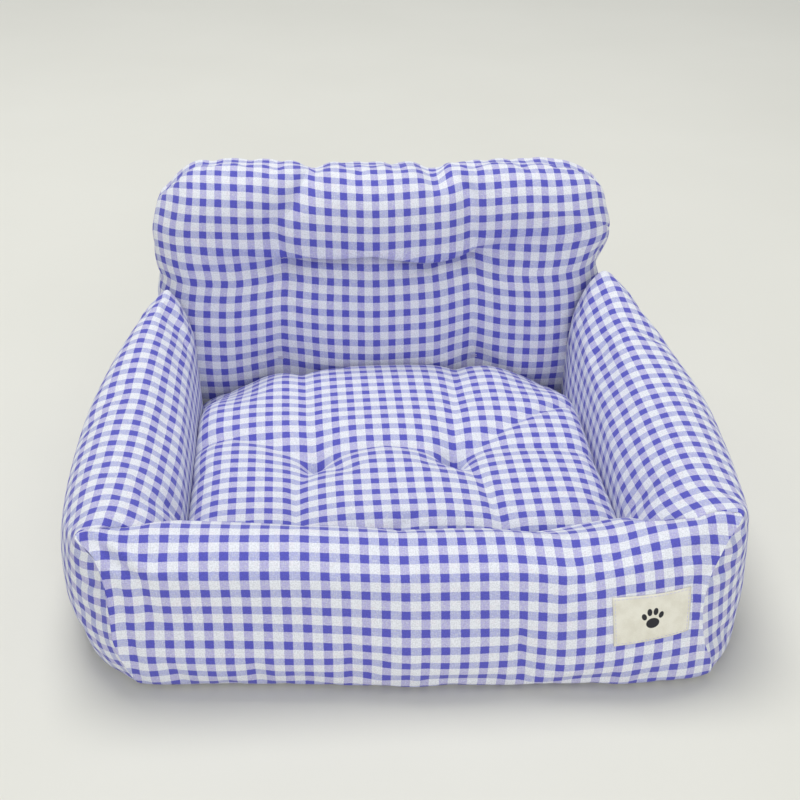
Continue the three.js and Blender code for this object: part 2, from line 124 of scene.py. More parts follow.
def dimple(x, y, spot, width):
    """How near the points are to a spot."""
    return groove(x, y, [spot, (spot[0] + 0.1, spot[1])], width)


def grid_quads(rows, columns):
    """The corners of each cell of a grid, in turn."""
    for i in range(rows - 1):
        for j in range(columns - 1):
            yield [(i, j), (i, j + 1), (i + 1, j + 1), (i + 1, j)]


def mesh_object(name, points, faces, uvs=None):
    """A mesh in metres from points in mm. uvs holds one pair per face corner, in mm of cloth."""
    mesh = bpy.data.meshes.new(name)
    mesh.from_pydata((np.asarray(points) * MM).tolist(), [], faces)
    if uvs is not None:
        layer = mesh.uv_layers.new(name="cloth")
        layer.data.foreach_set("uv", (np.asarray(uvs, float) * MM).ravel())
    mesh.polygons.foreach_set("use_smooth", [True] * len(mesh.polygons))
    mesh.update()
    obj = bpy.data.objects.new(name, mesh)
    bpy.context.scene.collection.objects.link(obj)
    return obj


CAP_BULGE = 34.0
CAP_INSIDE = 210.0
CAP_SHARES = (0.97, 0.9, 0.75, 0.5, 0.25)


def cap_ring(rim, centre, share, axis, rear):
    """A ring of an end cap. Where the arm's rear end stands clear of the backrest it is full."""
    ring = centre + (rim - centre) * share
    if rear and axis == 1:
        clear = smooth((np.abs(ring[:, 0]) - CAP_INSIDE) / 24)
        ring[:, 1] += CAP_BULGE * math.sqrt(1 - share**2) * clear
    return ring


def tube_object(name, rings, cloth, axis):
    """A closed tube from rings (I, J, 3) along an axis, with a fan cap at each end, cut flat from
    the cloth. cloth is (I, J + 1, 2)."""
    flat = [k for k in range(3) if k != axis]
    rows, count = rings.shape[:2]
    points = rings.reshape(-1, 3)
    faces, uvs = [], []
    for i in range(rows - 1):
        for j in range(count):
            k = (j + 1) % count
            faces.append([i * count + j, i * count + k, (i + 1) * count + k, (i + 1) * count + j])
            uvs += [cloth[i, j], cloth[i, j + 1], cloth[i + 1, j + 1], cloth[i + 1, j]]
    for row, turn in ((0, True), (rows - 1, False)):
        centre = rings[row].mean(0)
        outer = list(range(row * count, row * count + count))
        for share in CAP_SHARES:
            base = len(points)
            points = np.concatenate([points, cap_ring(rings[row], centre, share, axis, not turn)])
            inner = list(range(base, base + count))
            for j in range(count):
                k = (j + 1) % count
                face = [outer[j], inner[j], inner[k], outer[k]]
                faces.append(face if turn else face[::-1])
                uvs += [points[v][flat] for v in faces[-1]]
            outer = inner
        hub = len(points)
        points = np.concatenate([points, centre[None]])
        for j in range(count):
            face = [outer[j], hub, outer[(j + 1) % count]]
            faces.append(face if turn else face[::-1])
            uvs += [points[v][flat] for v in faces[-1]]
    obj = mesh_object(name, points, faces, uvs)
    last = (rows - 1) * count
    crease = obj.data.attributes.new("crease_edge", "FLOAT", "EDGE")
    for edge in obj.data.edges:
        a, b = edge.vertices
        if max(a, b) < count or last <= min(a, b) <= max(a, b) < last + count:
            edge.use_edge_sharp = True
            crease.data[edge.index].value = 1.0
    return obj


def outward(obj):
    """Turns every face of a closed mesh outwards."""
    mesh = obj.data
    mesh.calc_loop_triangles()
    p = np.array([v.co for v in mesh.vertices])
    t = np.array([tri.vertices[:] for tri in mesh.loop_triangles])
    volume = (p[t[:, 0]] * np.cross(p[t[:, 1]], p[t[:, 2]])).sum()
    if volume < 0:
        mesh.flip_normals()
    return obj


# ---- front wall and arms: tubes over a net of listed sections ----

RING_STEP = 5.0
AROUND = 88
SEAM_GAP = 0.2
TUBE_SWELL = 5.0
FLOOR_GAP = 2.4

# Section of the front wall at its middle: distance outwards from the well, and height
WALL_SECTION = [
    (0, 12), (0, 58), (2, 92), (8, 108), (20, 120), (36, 126.5), (55, 115),
    (65, 97), (74, 68), (80.5, 38), (79, 12), (71, FLOOR_GAP), (10, FLOOR_GAP),
]
# Height of its crest along x: a little higher on the left, with a shallow dent on the right
WALL_CREST = [
    (-236, 139), (-161, 135), (-86, 132), (-10, 126), (68, 124), (118, 119), (150, 122), (236, 137),
]

# How far the foot of the wall stands out along x: it slants outwards to the right
WALL_FOOT = [(-236, -12), (-195, -12), (-129, -9), (-51, -4), (0, 1), (83, 2), (161, 7), (236, 9)]

# The corner seams, from the well's inner corner over the peak and down to the foot
RIGHT_CORNER = [
    (186, -162.5, 12), (186, -162.5, 57), (186.5, -164, 88), (190, -172, 106), (208, -199, 125),
    (254, -204, 137), (241, -219, 118), (227, -233, 96), (223, -240, 70), (227, -243, 43),
    (237, -241, 15), (232, -233, FLOOR_GAP), (196, -176, FLOOR_GAP),
]
LEFT_CORNER = [
    (-186, -162.5, 12), (-186, -162.5, 57), (-186.5, -163, 88), (-190, -167, 106), (-212, -181, 124),
    (-253, -205, 140), (-240, -215, 122), (-234, -222, 102), (-232, -227, 76), (-231, -228, 50),
    (-223, -225, 20), (-213, -218, FLOOR_GAP), (-194, -174, FLOOR_GAP),
]

# Sections of the arms from front to back: y, then distance out from the middle plane, and height
RIGHT_ARM = [
    (-192, [(186, 12), (186, 57), (187, 90), (193, 109), (217, 128), (253, 138), (262, 122),
            (264, 97), (266, 66), (268, 38), (268, 13), (262, FLOOR_GAP), (198, FLOOR_GAP)]),
    (-148, [(186, 12), (186, 60), (188, 96), (197, 120), (216, 136), (243, 141), (266, 131),
            (275, 103), (278, 69), (278, 38), (272, 13), (260, FLOOR_GAP), (198, FLOOR_GAP)]),
    (-30, [(186, 12), (186, 64), (190, 106), (199, 131), (214, 146), (238, 150), (268, 138),
           (281, 112), (285, 76), (281, 40), (270, 14), (255, FLOOR_GAP), (198, FLOOR_GAP)]),
    (60, [(186, 12), (186, 68), (191, 116), (200, 141), (212, 156), (230, 161), (255, 147),
          (270, 118), (275, 80), (272, 42), (261, 14), (244, FLOOR_GAP), (198, FLOOR_GAP)]),
]
LEFT_ARM = [
    (-186, [(186, 12), (186, 57), (187, 92), (192, 112), (216, 130), (246, 139), (258, 121),
            (261, 98), (263, 68), (262, 40), (256, 14), (245, FLOOR_GAP), (198, FLOOR_GAP)]),
    (-134, [(186, 12), (186, 60), (188, 98), (196, 122), (215, 138), (241, 142), (263, 129),
            (274, 101), (277, 68), (275, 36), (267, 13), (257, FLOOR_GAP), (198, FLOOR_GAP)]),
    (-30, [(186, 12), (186, 64), (190, 106), (199, 131), (213, 146), (234, 150), (259, 138),
           (272, 112), (276, 76), (273, 40), (263, 14), (250, FLOOR_GAP), (198, FLOOR_GAP)]),
    (60, [(186, 12), (186, 68), (191, 116), (199, 141), (210, 156), (226, 161), (247, 147),
          (261, 118), (266, 80), (263, 42), (254, 14), (240, FLOOR_GAP), (198, FLOOR_GAP)]),
]
# Where the arms end against the backrest
RIGHT_END = [
    (186, 12), (186, 70), (190, 124), (198, 152), (208, 170), (221, 178), (241, 158),
    (256, 127), (261, 86), (259, 44), (250, 14), (238, FLOOR_GAP), (198, FLOOR_GAP),
]
LEFT_END = [
    (186, 12), (186, 70), (190, 122), (197, 147), (205, 162), (213, 168), (228, 152),
    (243, 124), (248, 86), (246, 44), (239, 14), (228, FLOOR_GAP), (198, FLOOR_GAP),
]


def front_wall_rings():
    middle = np.array([(0.0, WELL_FRONT - s, z) for s, z in WALL_SECTION])
    spans = even_spans(middle, AROUND)
    crest_x, crest_z = np.array(WALL_CREST, float).T
    foot_x, foot_shift = np.array(WALL_FOOT, float).T
    rings = []
    for u in np.linspace(-1, 1, int(500 / RING_STEP) + 1):
        corner = np.array(RIGHT_CORNER if u > 0 else LEFT_CORNER, float)
        near = abs(u)
        here = middle.copy()
        crest = np.interp(u * 236, crest_x, crest_z)
        here[:, 2] *= 1 + (crest / 126.5 - 1) * smooth((here[:, 2] - 20) / 90)
        lower = smooth((122 - here[:, 2]) / 45) * (here[:, 1] < WELL_FRONT - 50)
        here[:, 1] -= lower * np.interp(u * 236, foot_x, foot_shift)
        w = 0.8 * near**7 + 0.2 * near**24
        controls = here * (1 - w) + corner * w
        controls[:, 0] = corner[:, 0] * near
        rings.append(ring_at(controls, spans))
    rings = np.array(rings)
    x, y, z = rings.transpose(2, 0, 1)
    fold = 4.5 * groove(x, z, [(-240, 134), (-208, 108), (-202, 74)], 8)
    fold += 2.5 * groove(x, z, [(-226, 96), (-216, 40)], 7)
    fold += 3.0 * groove(x, z, [(118, 122), (132, 104)], 8)
    rings[:, :, 1] += fold * (y < -196)
    return rings


def arm_rings(side):
    corner = np.array(RIGHT_CORNER if side > 0 else LEFT_CORNER, float)
    corner[:, 1] += SEAM_GAP
    keys = [corner]
    sections = RIGHT_ARM + [(WELL_BACK - 0.6, RIGHT_END)]
    if side < 0:
        sections = LEFT_ARM + [(WELL_BACK - 0.6, LEFT_END)]
    for y, section in sections:
        keys.append(np.array([(side * x, y, z) for x, z in section], float))
    keys = np.array(keys)
    outer = 8
    fine = catmull(keys[:, outer], np.linspace(0, len(keys) - 1, 400))
    length = arc_length(fine)
    count = int(length[-1] / RING_STEP) + 1
    share = np.interp(np.linspace(0, length[-1], count), length, np.linspace(0, len(keys) - 1, 400))
    controls = catmull(keys, share)
    spans = even_spans(keys[2], AROUND)
    return np.array([ring_at(c, spans) for c in controls])


def tube_cloth(rings, axis, crest):
    """Flat cloth coordinates of a tube: the length along it from its middle ring, and the length
    round it from the crest, each measured across the other."""
    across = [k for k in range(3) if k != axis]
    closed = np.concatenate([rings, rings[:, :1]], axis=1)
    step = np.linalg.norm(np.diff(closed[:, :, across], axis=1), axis=2)
    around = np.concatenate([np.zeros((len(rings), 1)), np.cumsum(step, 1)], axis=1)
    around -= around[:, crest][:, None]
    tangent = np.roll(rings, -1, 1) - np.roll(rings, 1, 1)
    tangent[:, :, axis] = 0
    tangent /= np.linalg.norm(tangent, axis=2, keepdims=True)
    stride = np.diff(rings, axis=0)
    side = tangent[1:] + tangent[:-1]
    side /= np.linalg.norm(side, axis=2, keepdims=True)
    stride -= side * (stride * side).sum(2, keepdims=True)
    forward = np.linalg.norm(stride, axis=2) * np.sign(stride[:, :, axis])
    along = np.concatenate([np.zeros((1, rings.shape[1])), np.cumsum(forward, 0)], axis=0)
    middle = len(rings) // 2
    along += rings[middle, :, axis][None] - along[middle][None]
    along = np.concatenate([along, along[:, :1]], axis=1)
    return np.stack([along, around], axis=2)


def build_front_wall():
    rings = front_wall_rings()
    crest = int(np.argmax(rings[len(rings) // 2, :, 2]))
    obj = outward(tube_object("front_wall", rings, tube_cloth(rings, 0, crest), 0))
    return obj, tube_pins(rings, len(obj.data.vertices))


def build_arm(side, name):
    rings = arm_rings(side)
    crest = int(np.argmax(rings[len(rings) // 2, :, 2]))
    cloth = tube_cloth(rings, 1, crest)
    obj = outward(tube_object(name, rings, cloth[:, :, ::-1], 1))
    return obj, tube_pins(rings, len(obj.data.vertices))


def tube_pins(rings, total):
    """The caps and end rings are sewn down, and the underside rests on the bed's bottom. Next to
    the upright part of a corner seam the cloth may swell only a little, so that it turns the
    corner in one smooth curve."""
    row = np.arange(len(rings))
    from_end = RING_STEP * np.minimum(row, len(rings) - 1 - row)[:, None]
    upright = smooth((118 - rings[:, :, 2]) / 24)
    caps = np.full(total, 1.0)
    near = 1 - upright * (1 - smooth(from_end / 55))
    caps[: near.size] = (TUBE_SWELL * (0.12 + 0.88 * near)).ravel()
    pins = np.ones(total)
    body = np.zeros(rings.shape[:2])
    body[0] = body[-1] = 1
    body[1] = body[-2] = 0.5
    body[2] = body[-3] = 0.2
    body[rings[:, :, 2] < FLOOR_GAP + 1.5] = 1
    pins[: body.size] = body.ravel()
    return pins, caps


# ---- pillows: a front sheet and a back sheet sewn round the edge ----


def pillow_sheet(half_width, half_height, edge, step):
    """A sheet's flat coordinates p, q, its outline places x, y, and how full it is there."""
    flat_w = half_width - edge + edge * math.pi / 2
    flat_h = half_height - edge + edge * math.pi / 2
    columns = 2 * int(round(flat_w / step)) + 1
    rows = 2 * int(round(flat_h / step)) + 1
    p, q = np.meshgrid(np.linspace(-flat_w, flat_w, columns), np.linspace(-flat_h, flat_h, rows))

    def place(flat, half):
        turn = np.clip((np.abs(flat) - (half - edge)) / edge, 0, math.pi / 2)
        inside = np.minimum(np.abs(flat), half - edge)
        return np.sign(flat) * (inside + edge * np.sin(turn)), np.cos(turn), turn

    x, full_x, turn_x = place(p, half_width)
    y, full_y, turn_y = place(q, half_height)
    pull = 0.3 * edge * np.sin(turn_x) ** 2 * np.sin(turn_y) ** 2
    x, y = x - np.sign(x) * pull, y - np.sign(y) * pull
    return p, q, x, y, full_x * full_y


def pillow_object(name, front, back, cloth, back_cloth=None):
    """Joins two grids (R, C, 3) that share their edges into one closed mesh."""
    behind = cloth if back_cloth is None else back_cloth
    rows, columns = front.shape[:2]
    index_front = np.arange(rows * columns).reshape(rows, columns)
    index_back = index_front + rows * columns
    for edge in (np.s_[0, :], np.s_[-1, :], np.s_[:, 0], np.s_[:, -1]):
        index_back[edge] = index_front[edge]
    used = np.unique(index_back[1:-1, 1:-1])
    renumber = {int(v): rows * columns + i for i, v in enumerate(used)}
    points = np.concatenate([front.reshape(-1, 3), back[1:-1, 1:-1].reshape(-1, 3)])
    faces, uvs = [], []
    for quad in grid_quads(rows, columns):
        faces.append([int(index_front[c]) for c in quad])
        uvs += [cloth[c] for c in quad]
        quad = quad[::-1]
        faces.append([renumber.get(int(index_back[c]), int(index_back[c])) for c in quad])
        uvs += [behind[c] for c in quad]
    return outward(mesh_object(name, points, faces, uvs))


def tack_place(node, axes):
    """Where a tack's thread pulls the cloth in, from its CAD node."""
    low, high = node_box(node)
    middle = (low + high) / 2
    return tuple(middle[k] for k in axes)


BACK_TACKS = [
    tack_place("backrest_tack_" + name, (0, 2))
    for name in ("upper_left", "upper_right", "lower_left", "lower_right")
]
UPPER_LEFT, UPPER_RIGHT, LOWER_LEFT, LOWER_RIGHT = BACK_TACKS
SEAT_LEFT, SEAT_RIGHT = (tack_place("cushion_tack_" + name, (0, 1)) for name in ("left", "right"))


# Profiles of the backrest's front at stations along x: the height and depth of the crease
# across its waist, how far the lobe above and the panel below stand out, the top's height, and
# how far above the crease the lobe's underside begins, small where the lobe hangs over it
BACK_STATIONS = [
    (-226, 164, 29, 32, 30, 235, 14),
    (-208, 170, 33, 39, 34, 255, 14),
    (-186, 176, 35, 45, 37, 270, 14),
    (-150, 184, 35, 48, 39, 273, 13),
    (-116, 185, 27, 45, 36, 272, 9),
    (-98, 184, 17, 42, 34, 271, 4),
    (-66, 186, 20, 46, 38, 270, 3),
    (-10, 191, 20, 56, 41, 269, 3),
    (52, 180, 20, 48, 39, 268, 3),
    (89, 187, 17, 43, 33, 268, 4),
    (112, 196, 30, 46, 38, 269, 9),
    (160, 203, 38, 48, 40, 268, 13),
    (192, 196, 36, 45, 38, 262, 14),
    (212, 186, 33, 40, 34, 252, 14),
    (228, 178, 29, 33, 30, 236, 14),
]
TOP_NOTCHES = [(-66, 9, 11), (53, 10, 12)]


def notch(x):
    """How far the top edge is drawn down, where the valleys between the lobes reach it."""
    return sum(depth * math.exp(-(((x - at) / width) ** 2)) for at, width, depth in TOP_NOTCHES)


LOBE_ROW = 262.0


def back_profile(x, share):
    """Place of the front cloth at x, at a share of the way up it: how far out, and height."""
    stations = np.array(BACK_STATIONS, float)
    here = [np.interp(x, stations[:, 0], stations[:, k]) for k in range(1, 7)]
    crease, dip, lobe, panel, top, under = here
    top -= notch(x)
    controls = np.array([
        (2, 3), (panel * 0.78, 5), (panel * 0.98, 26), (panel, 70), (panel + 2, 112),
        (panel, crease - 28), (panel * 0.7 + dip * 0.3, crease - 9), (dip, crease),
        (lobe * 0.78 + dip * 0.22, crease + under), (lobe, crease + under + 17), (lobe, top - 34),
        (lobe * 0.8, top - 13), (lobe * 0.42, top - 2), (2, top - 1),
    ])
    fine = catmull(controls, np.linspace(0, len(controls) - 1, 260))
    length = arc_length(fine)
    at = share * length[-1]
    knots = np.interp([7, 9], np.linspace(0, len(controls) - 1, 260), length)
    # the rows of the check lie level below the crease and again on the lobes above it
    level = LOBE_ROW - (knots[1] + (232 - crease - 20))
    cloth = at + level * smooth((at - knots[0] + 8) / (knots[1] - knots[0] + 8))
    return np.interp(at, length, fine[:, 0]), np.interp(at, length, fine[:, 1]), cloth


def smoothed(values, width):
    """Values along a line, smoothed with a bell of the given width in points."""
    reach = int(3 * width)
    bell = np.exp(-0.5 * (np.arange(-reach, reach + 1) / width) ** 2)
    bell /= bell.sum()
    padded = np.concatenate([np.full(reach, values[0]), values, np.full(reach, values[-1])])
    return np.convolve(padded, bell, mode="valid")


def build_backrest():
    half_w, edge, length = 224.0, 34.0, 350.0
    flat_w = half_w - edge + edge * math.pi / 2
    columns = 2 * int(round(flat_w / 5.0)) + 1
    rows = int(length / 5.0) + 1
    p = np.linspace(-flat_w, flat_w, columns)
    turn = np.clip((np.abs(p) - (half_w - edge)) / edge, 0, math.pi / 2)
    x = np.sign(p) * (np.minimum(np.abs(p), half_w - edge) + edge * np.sin(turn))
    full = np.cos(turn) ** 0.6
    share = np.linspace(0, 1, rows)
    out, height, cloth_rows = [], [], []
    for place in x:
        o, z, row = back_profile(place, share)
        out.append(o)
        height.append(z)
        cloth_rows.append(row)
    out = np.array([smoothed(row, 1.6) for row in np.array(out).T])
    height = np.array([smoothed(row, 1.6) for row in np.array(height).T])
    x = np.tile(x, (rows, 1))
    valley = [(-62, 282), (-74, 260), (-108, 220), UPPER_LEFT]
    out -= 11 * groove(x, height, valley, 13) * smooth((height - 184) / 14)
    out -= 7 * groove(x, height, [(-62, 282), (-70, 262), (-88, 236)], 5)
    valley = [(52, 282), (84, 252), (86, 212), UPPER_RIGHT]
    out -= 10 * groove(x, height, valley, 13) * smooth((height - 186) / 14)
    out -= 7 * groove(x, height, [(52, 282), (66, 266), (84, 246)], 5)
    out -= 4 * groove(x, height, [(226, 176), (204, 144), (196, 108)], 12)
    out -= 3 * groove(x, height, [UPPER_LEFT, LOWER_LEFT, (-106, 20)], 8)
    out -= 4 * groove(x, height, [UPPER_RIGHT, (89, 104), LOWER_RIGHT, (96, 20)], 7)
    for spot in BACK_TACKS:
        out -= 6 * dimple(x, height, spot, 8)
    rise = (height - 2.6) / 268
    bow = 1 + 0.016 * np.sin(math.pi * np.clip(rise * 1.05, 0, 1))
    bow -= 0.03 * groove(x, height, [(-300, 166), (300, 172)], 22)
    lean = 186 + 34 * np.clip(rise, 0, 1.1) ** 1.3
    full = np.tile(full, (rows, 1))
    # the right side bulges below the shoulder, and the left shoulder slopes in
    side = smooth((np.abs(x) - 150) / 70)
    bow += 0.028 * side * (x > 0) * np.exp(-(((height - 208) / 20) ** 2))
    bow -= 0.032 * side * (x < 0) * smooth((height - 212) / 45)
    front = np.stack([x * bow, lean - out * full, height], axis=2)
    seam_z = 3 + (height[-1] - 3) * share[:, None]
    seam_z = seam_z + (height - seam_z) * smooth(full * 1.4)
    front[:, :, 2] = seam_z
    behind = np.interp(seam_z, [0, 30, 60, 140, 240, 275], [43, 50, 54, 49, 36, 20])
    for spot in BACK_TACKS:
        behind -= 7 * dimple(x, seam_z, spot, 15)
    ends = np.sin(math.pi * np.clip(share, 0, 1))[:, None] ** 0.3
    back = np.stack([x * bow, lean + behind * full**0.9 * ends, seam_z], axis=2)
    back[0], back[-1] = front[0], front[-1]
    back[:, :, 1] = flat_for_zip(x, seam_z, back[:, :, 1], ZIP_LOW[1] - 0.7)
    q = np.array([smoothed(row, 1.6) for row in np.array(cloth_rows).T]) - 170.0
    cloth = np.stack([np.tile(p, (rows, 1)), q], axis=2)
    climb = np.linalg.norm(np.diff(back[:, 8:-8], axis=0), axis=2).mean(1)
    level = q[-1].mean() - climb.sum() + np.concatenate([[0], np.cumsum(climb)])
    back_cloth = np.stack([cloth[:, :, 0], np.tile(level[:, None], (1, columns))], axis=2)
    obj = pillow_object("backrest", front, back, cloth, back_cloth)
    return obj, pillow_pins(obj, rows, columns, BACK_TACKS, (0, 2), ZIP_LOW[1] - 2)


# The zips' places, from their CAD tapes; the cloth behind them lies flat
ZIP_LOW, ZIP_HIGH = node_box("backrest_zip_tape_lower")[0], node_box("backrest_zip_tape_upper")[1]
SEAT_ZIP_Y = node_box("cushion_zip_tape_lower")[0][1]


def flat_for_zip(x, z, y, limit):
    """The cloth's back face, kept in front of the limit round the zip, easing out beside it."""
    beside = np.maximum(np.abs(x) - (ZIP_HIGH[0] + 14), 0)
    above = np.maximum(np.maximum(ZIP_LOW[2] - 3 - z, z - ZIP_HIGH[2] - 3), 0)
    free = smooth(np.hypot(beside, above) / 16)
    return np.where(y > limit, limit + (y - limit) * free, y)


def pillow_pins(obj, rows, columns, spots, axes, zip_y):
    """The seam, the tacked spots and the flat round the zip are held; the rest is free."""
    points = coordinates(obj)
    pins = np.zeros(len(points))
    index = np.arange(rows * columns).reshape(rows, columns)
    for edge in (index[0], index[-1], index[:, 0], index[:, -1]):
        pins[edge] = 1
    for spot in spots:
        near = np.hypot(points[:, axes[0]] - spot[0], points[:, axes[1]] - spot[1])
        pins[near < 5.5] = 1
    beside = np.abs(points[:, 0]) < ZIP_HIGH[0] + 14
    level = (points[:, 2] > ZIP_LOW[2] - 3) & (points[:, 2] < ZIP_HIGH[2] + 3)
    pins[beside & level & (points[:, 1] > zip_y)] = 1
    return pins


def seat_top(x, y):
    """Height of the cushion's padded top above its side seam."""
    out = 45 + 7 * np.cos(x / 190 * 1.4) * np.cos((y + 5) / 150 * 1.2)
    corner = smooth((np.abs(x) - 96) / 92) * smooth((y - 40) / 100)
    out -= 30 * corner + 7 * smooth((y - 90) / 60)
    arch = [SEAT_LEFT, (-46, -27), (-10, -21), (24, -26), SEAT_RIGHT]
    arch_y = np.interp(x, [-73, -46, -10, 24, 51], [-35, -27, -21, -26, -33])
    between = smooth((x + 84) / 20) * smooth((62 - x) / 20)
    out -= 6 * groove(x, y, arch, 10)
    out += 3 * between * smooth((arch_y - y) / 12) * np.exp(-np.clip(arch_y - y, 0, None) / 40)
    left = [(-190, 4), (-150, 6), (-112, -6), SEAT_LEFT]
    right = [SEAT_RIGHT, (82, -24), (120, -30), (190, -34)]
    out -= 8 * groove(x, y, left, 13) + 5 * groove(x, y, right, 14)
    out -= 8 * groove(x, y, [SEAT_RIGHT, (84, -8), (124, 24), (168, 54)], 7)
    out -= 5 * groove(x, y, [SEAT_LEFT, (-76, 30), (-84, 150)], 15)
    out -= 8 * groove(x, y, [SEAT_RIGHT, (60, 40), (72, 150)], 14)
    out -= 7 * groove(x, y, [SEAT_LEFT, (-88, -80), (-92, -160)], 12)
    out -= 7 * groove(x, y, [SEAT_RIGHT, (66, -62), (84, -160)], 12)
    for spot in (SEAT_LEFT, SEAT_RIGHT):
        out -= 7 * dimple(x, y, spot, 9)
    return out


SEAT_SEAM = 42.0


def build_cushion():
    half_w = WELL_X - 1.2
    half_d = (CUSHION_HIGH[1] - CUSHION_LOW[1]) / 2 + 0.4
    middle = (CUSHION_HIGH[1] + CUSHION_LOW[1]) / 2
    p, q, x, y, full = pillow_sheet(half_w, half_d, 26, 5.0)
    y = y + middle
    top = SEAT_SEAM + seat_top(x, y) * full**0.62
    bottom = SEAT_SEAM - (SEAT_SEAM - CUSHION_LOW[2]) * np.minimum(1, 1.25 * full**0.4)
    upper = np.stack([x, flat_for_zip(x, top, y, SEAT_ZIP_Y - 0.7), top], axis=2)
    lower = np.stack([x, flat_for_zip(x, bottom, y, SEAT_ZIP_Y - 0.7), bottom], axis=2)
    obj = pillow_object("seat_cushion_pillow", upper, lower, np.stack([p, q], axis=2))
    pins = pillow_pins(obj, *p.shape, (SEAT_LEFT, SEAT_RIGHT), (0, 1), SEAT_ZIP_Y - 2)
    pins[coordinates(obj)[:, 2] < CUSHION_LOW[2] + 0.6] = 1
    return obj, pins


# ---- cloth ----


CLOTH = {
    "quality": 6, "mass": 0.25, "air_damping": 3, "use_pressure": True, "pin_stiffness": 1,
    "tension_stiffness": 18, "compression_stiffness": 12, "shear_stiffness": 6,
    "bending_stiffness": 0.35,
    "tension_damping": 8, "compression_damping": 8, "shear_damping": 8, "bending_damping": 0.6,
    "vertex_group_shrink": "calm", "vertex_group_mass": "held",
}
LOWEST = 0.3
CALM_SHARE = 0.22
PUCKER_REACH = 42.0


def add_group(obj, name, weights):
    group = obj.vertex_groups.new(name=name)
    for index in np.flatnonzero(weights > 0):
        group.add([int(index)], float(weights[index]), "REPLACE")


def calmness(points, pins, low):
    """0 beside the seams and tacks above a height, where gathered cloth puckers, to 1 away from
    them."""
    held = KDTree(max(1, int((pins >= 1).sum())))
    for index in np.flatnonzero((pins >= 1) & (points[:, 2] > low)):
        held.insert(points[index], int(index))
    held.balance()
    far = np.array([held.find(p)[2] for p in points])
    return 0.001 + 0.999 * smooth(far / PUCKER_REACH)


def inflate(pieces, frames=20):
    """Inflates the pieces as cloth. Each comes with its pinned points, pressure, growth, how far
    each point may move, and the height above which its seams are gathered."""
    scene = bpy.context.scene
    before = {}
    for obj, pins, pressure, grow, cap, low in pieces:
        before[obj.name] = coordinates(obj)
        add_group(obj, "held", pins)
        add_group(obj, "calm", calmness(before[obj.name], pins, low))
        cloth = obj.modifiers.new("cloth", "CLOTH")
        settings = cloth.settings
        for key, value in CLOTH.items():
            setattr(settings, key, value)
        settings.shrink_min = -grow
        settings.shrink_max = -grow * CALM_SHARE
        settings.uniform_pressure_force = pressure
        settings.effector_weights.gravity = 0
        cloth.collision_settings.use_collision = False
        cloth.point_cache.frame_start = 1
        cloth.point_cache.frame_end = frames
    for number in range(1, frames + 1):
        scene.frame_set(number)
    shapes = {}
    for obj, *_ in pieces:
        shaped = obj.evaluated_get(bpy.context.evaluated_depsgraph_get())
        mesh = shaped.to_mesh()
        shapes[obj.name] = np.array([v.co for v in mesh.vertices]) / MM
        shaped.to_mesh_clear()
    for obj, pins, pressure, grow, cap, low in pieces:
        move = shapes[obj.name] - before[obj.name]
        length = np.linalg.norm(move, axis=1, keepdims=True)
        move *= np.minimum(1, np.reshape(cap, (-1, 1)) / np.maximum(length, 1e-6))
        obj.modifiers.remove(obj.modifiers["cloth"])
        obj.vertex_groups.clear()
        after = before[obj.name] + move
        after[:, 2] = np.maximum(after[:, 2], LOWEST)
        put(obj, after)
    scene.frame_set(1)


def press_foot(obj, limit):
    """Presses the backrest's foot flat where the seat cushion lies against it."""
    points = coordinates(obj)
    free = smooth((points[:, 2] - 50) / 25)
    pressed = np.maximum(points[:, 1], limit)
    points[:, 1] = pressed + (points[:, 1] - pressed) * free
    put(obj, points)


def coordinates(obj):
    out = np.zeros(len(obj.data.vertices) * 3, np.float32)
    obj.data.vertices.foreach_get("co", out)
    return out.reshape(-1, 3).astype(float) / MM


def put(obj, points):
    obj.data.vertices.foreach_set("co", (points * MM).astype(np.float32).ravel())
    obj.data.update()


# ---- small pieces ----


def surface_tree(*objects):
    """A search tree of the objects' shown surfaces, in mm."""
    graph = bpy.context.evaluated_depsgraph_get()
    points, faces = [], []
    for obj in objects:
        shown = obj.evaluated_get(graph)
        mesh = shown.to_mesh()
        start = len(points)
        points += [v.co / MM for v in mesh.vertices]
        faces += [[start + i for i in p.vertices] for p in mesh.polygons]
        shown.to_mesh_clear()
    return BVHTree.FromPolygons(points, faces)


def meet(tree, start, direction):
    """Where a line from the start first meets the surface, and the surface's outward normal."""
    place, normal, _, _ = tree.ray_cast(Vector(start), Vector(direction))
    if place is None:
        raise ValueError("a small piece has no surface to lie on")
    if normal.dot(Vector(direction)) > 0:
        normal = -normal
    return np.array(place), np.array(normal)


def slab(name, upper, lower, cloth):
    """A thin closed sheet from its two faces, grids (R, C, 3), and its flat coordinates."""
    rows, columns = upper.shape[:2]
    points = np.concatenate([upper.reshape(-1, 3), lower.reshape(-1, 3)])
    index = np.arange(rows * columns).reshape(rows, columns)
    below = index + rows * columns
    faces, uvs = [], []
    for quad in grid_quads(rows, columns):
        faces.append([int(index[c]) for c in quad])
        faces.append([int(below[c]) for c in quad[::-1]])
        uvs += [cloth[c] for c in quad] + [cloth[c] for c in quad[::-1]]
    rim = [(0, j) for j in range(columns)]
    rim += [(i, columns - 1) for i in range(1, rows)]
    rim += [(rows - 1, j) for j in range(columns - 2, -1, -1)]
    rim += [(i, 0) for i in range(rows - 2, 0, -1)]
    for c, d in zip(rim, rim[1:] + rim[:1]):
        faces.append([int(index[d]), int(index[c]), int(below[c]), int(below[d])])
        uvs += [cloth[d], cloth[c], cloth[c], cloth[d]]
    return outward(mesh_object(name, points, faces, uvs))


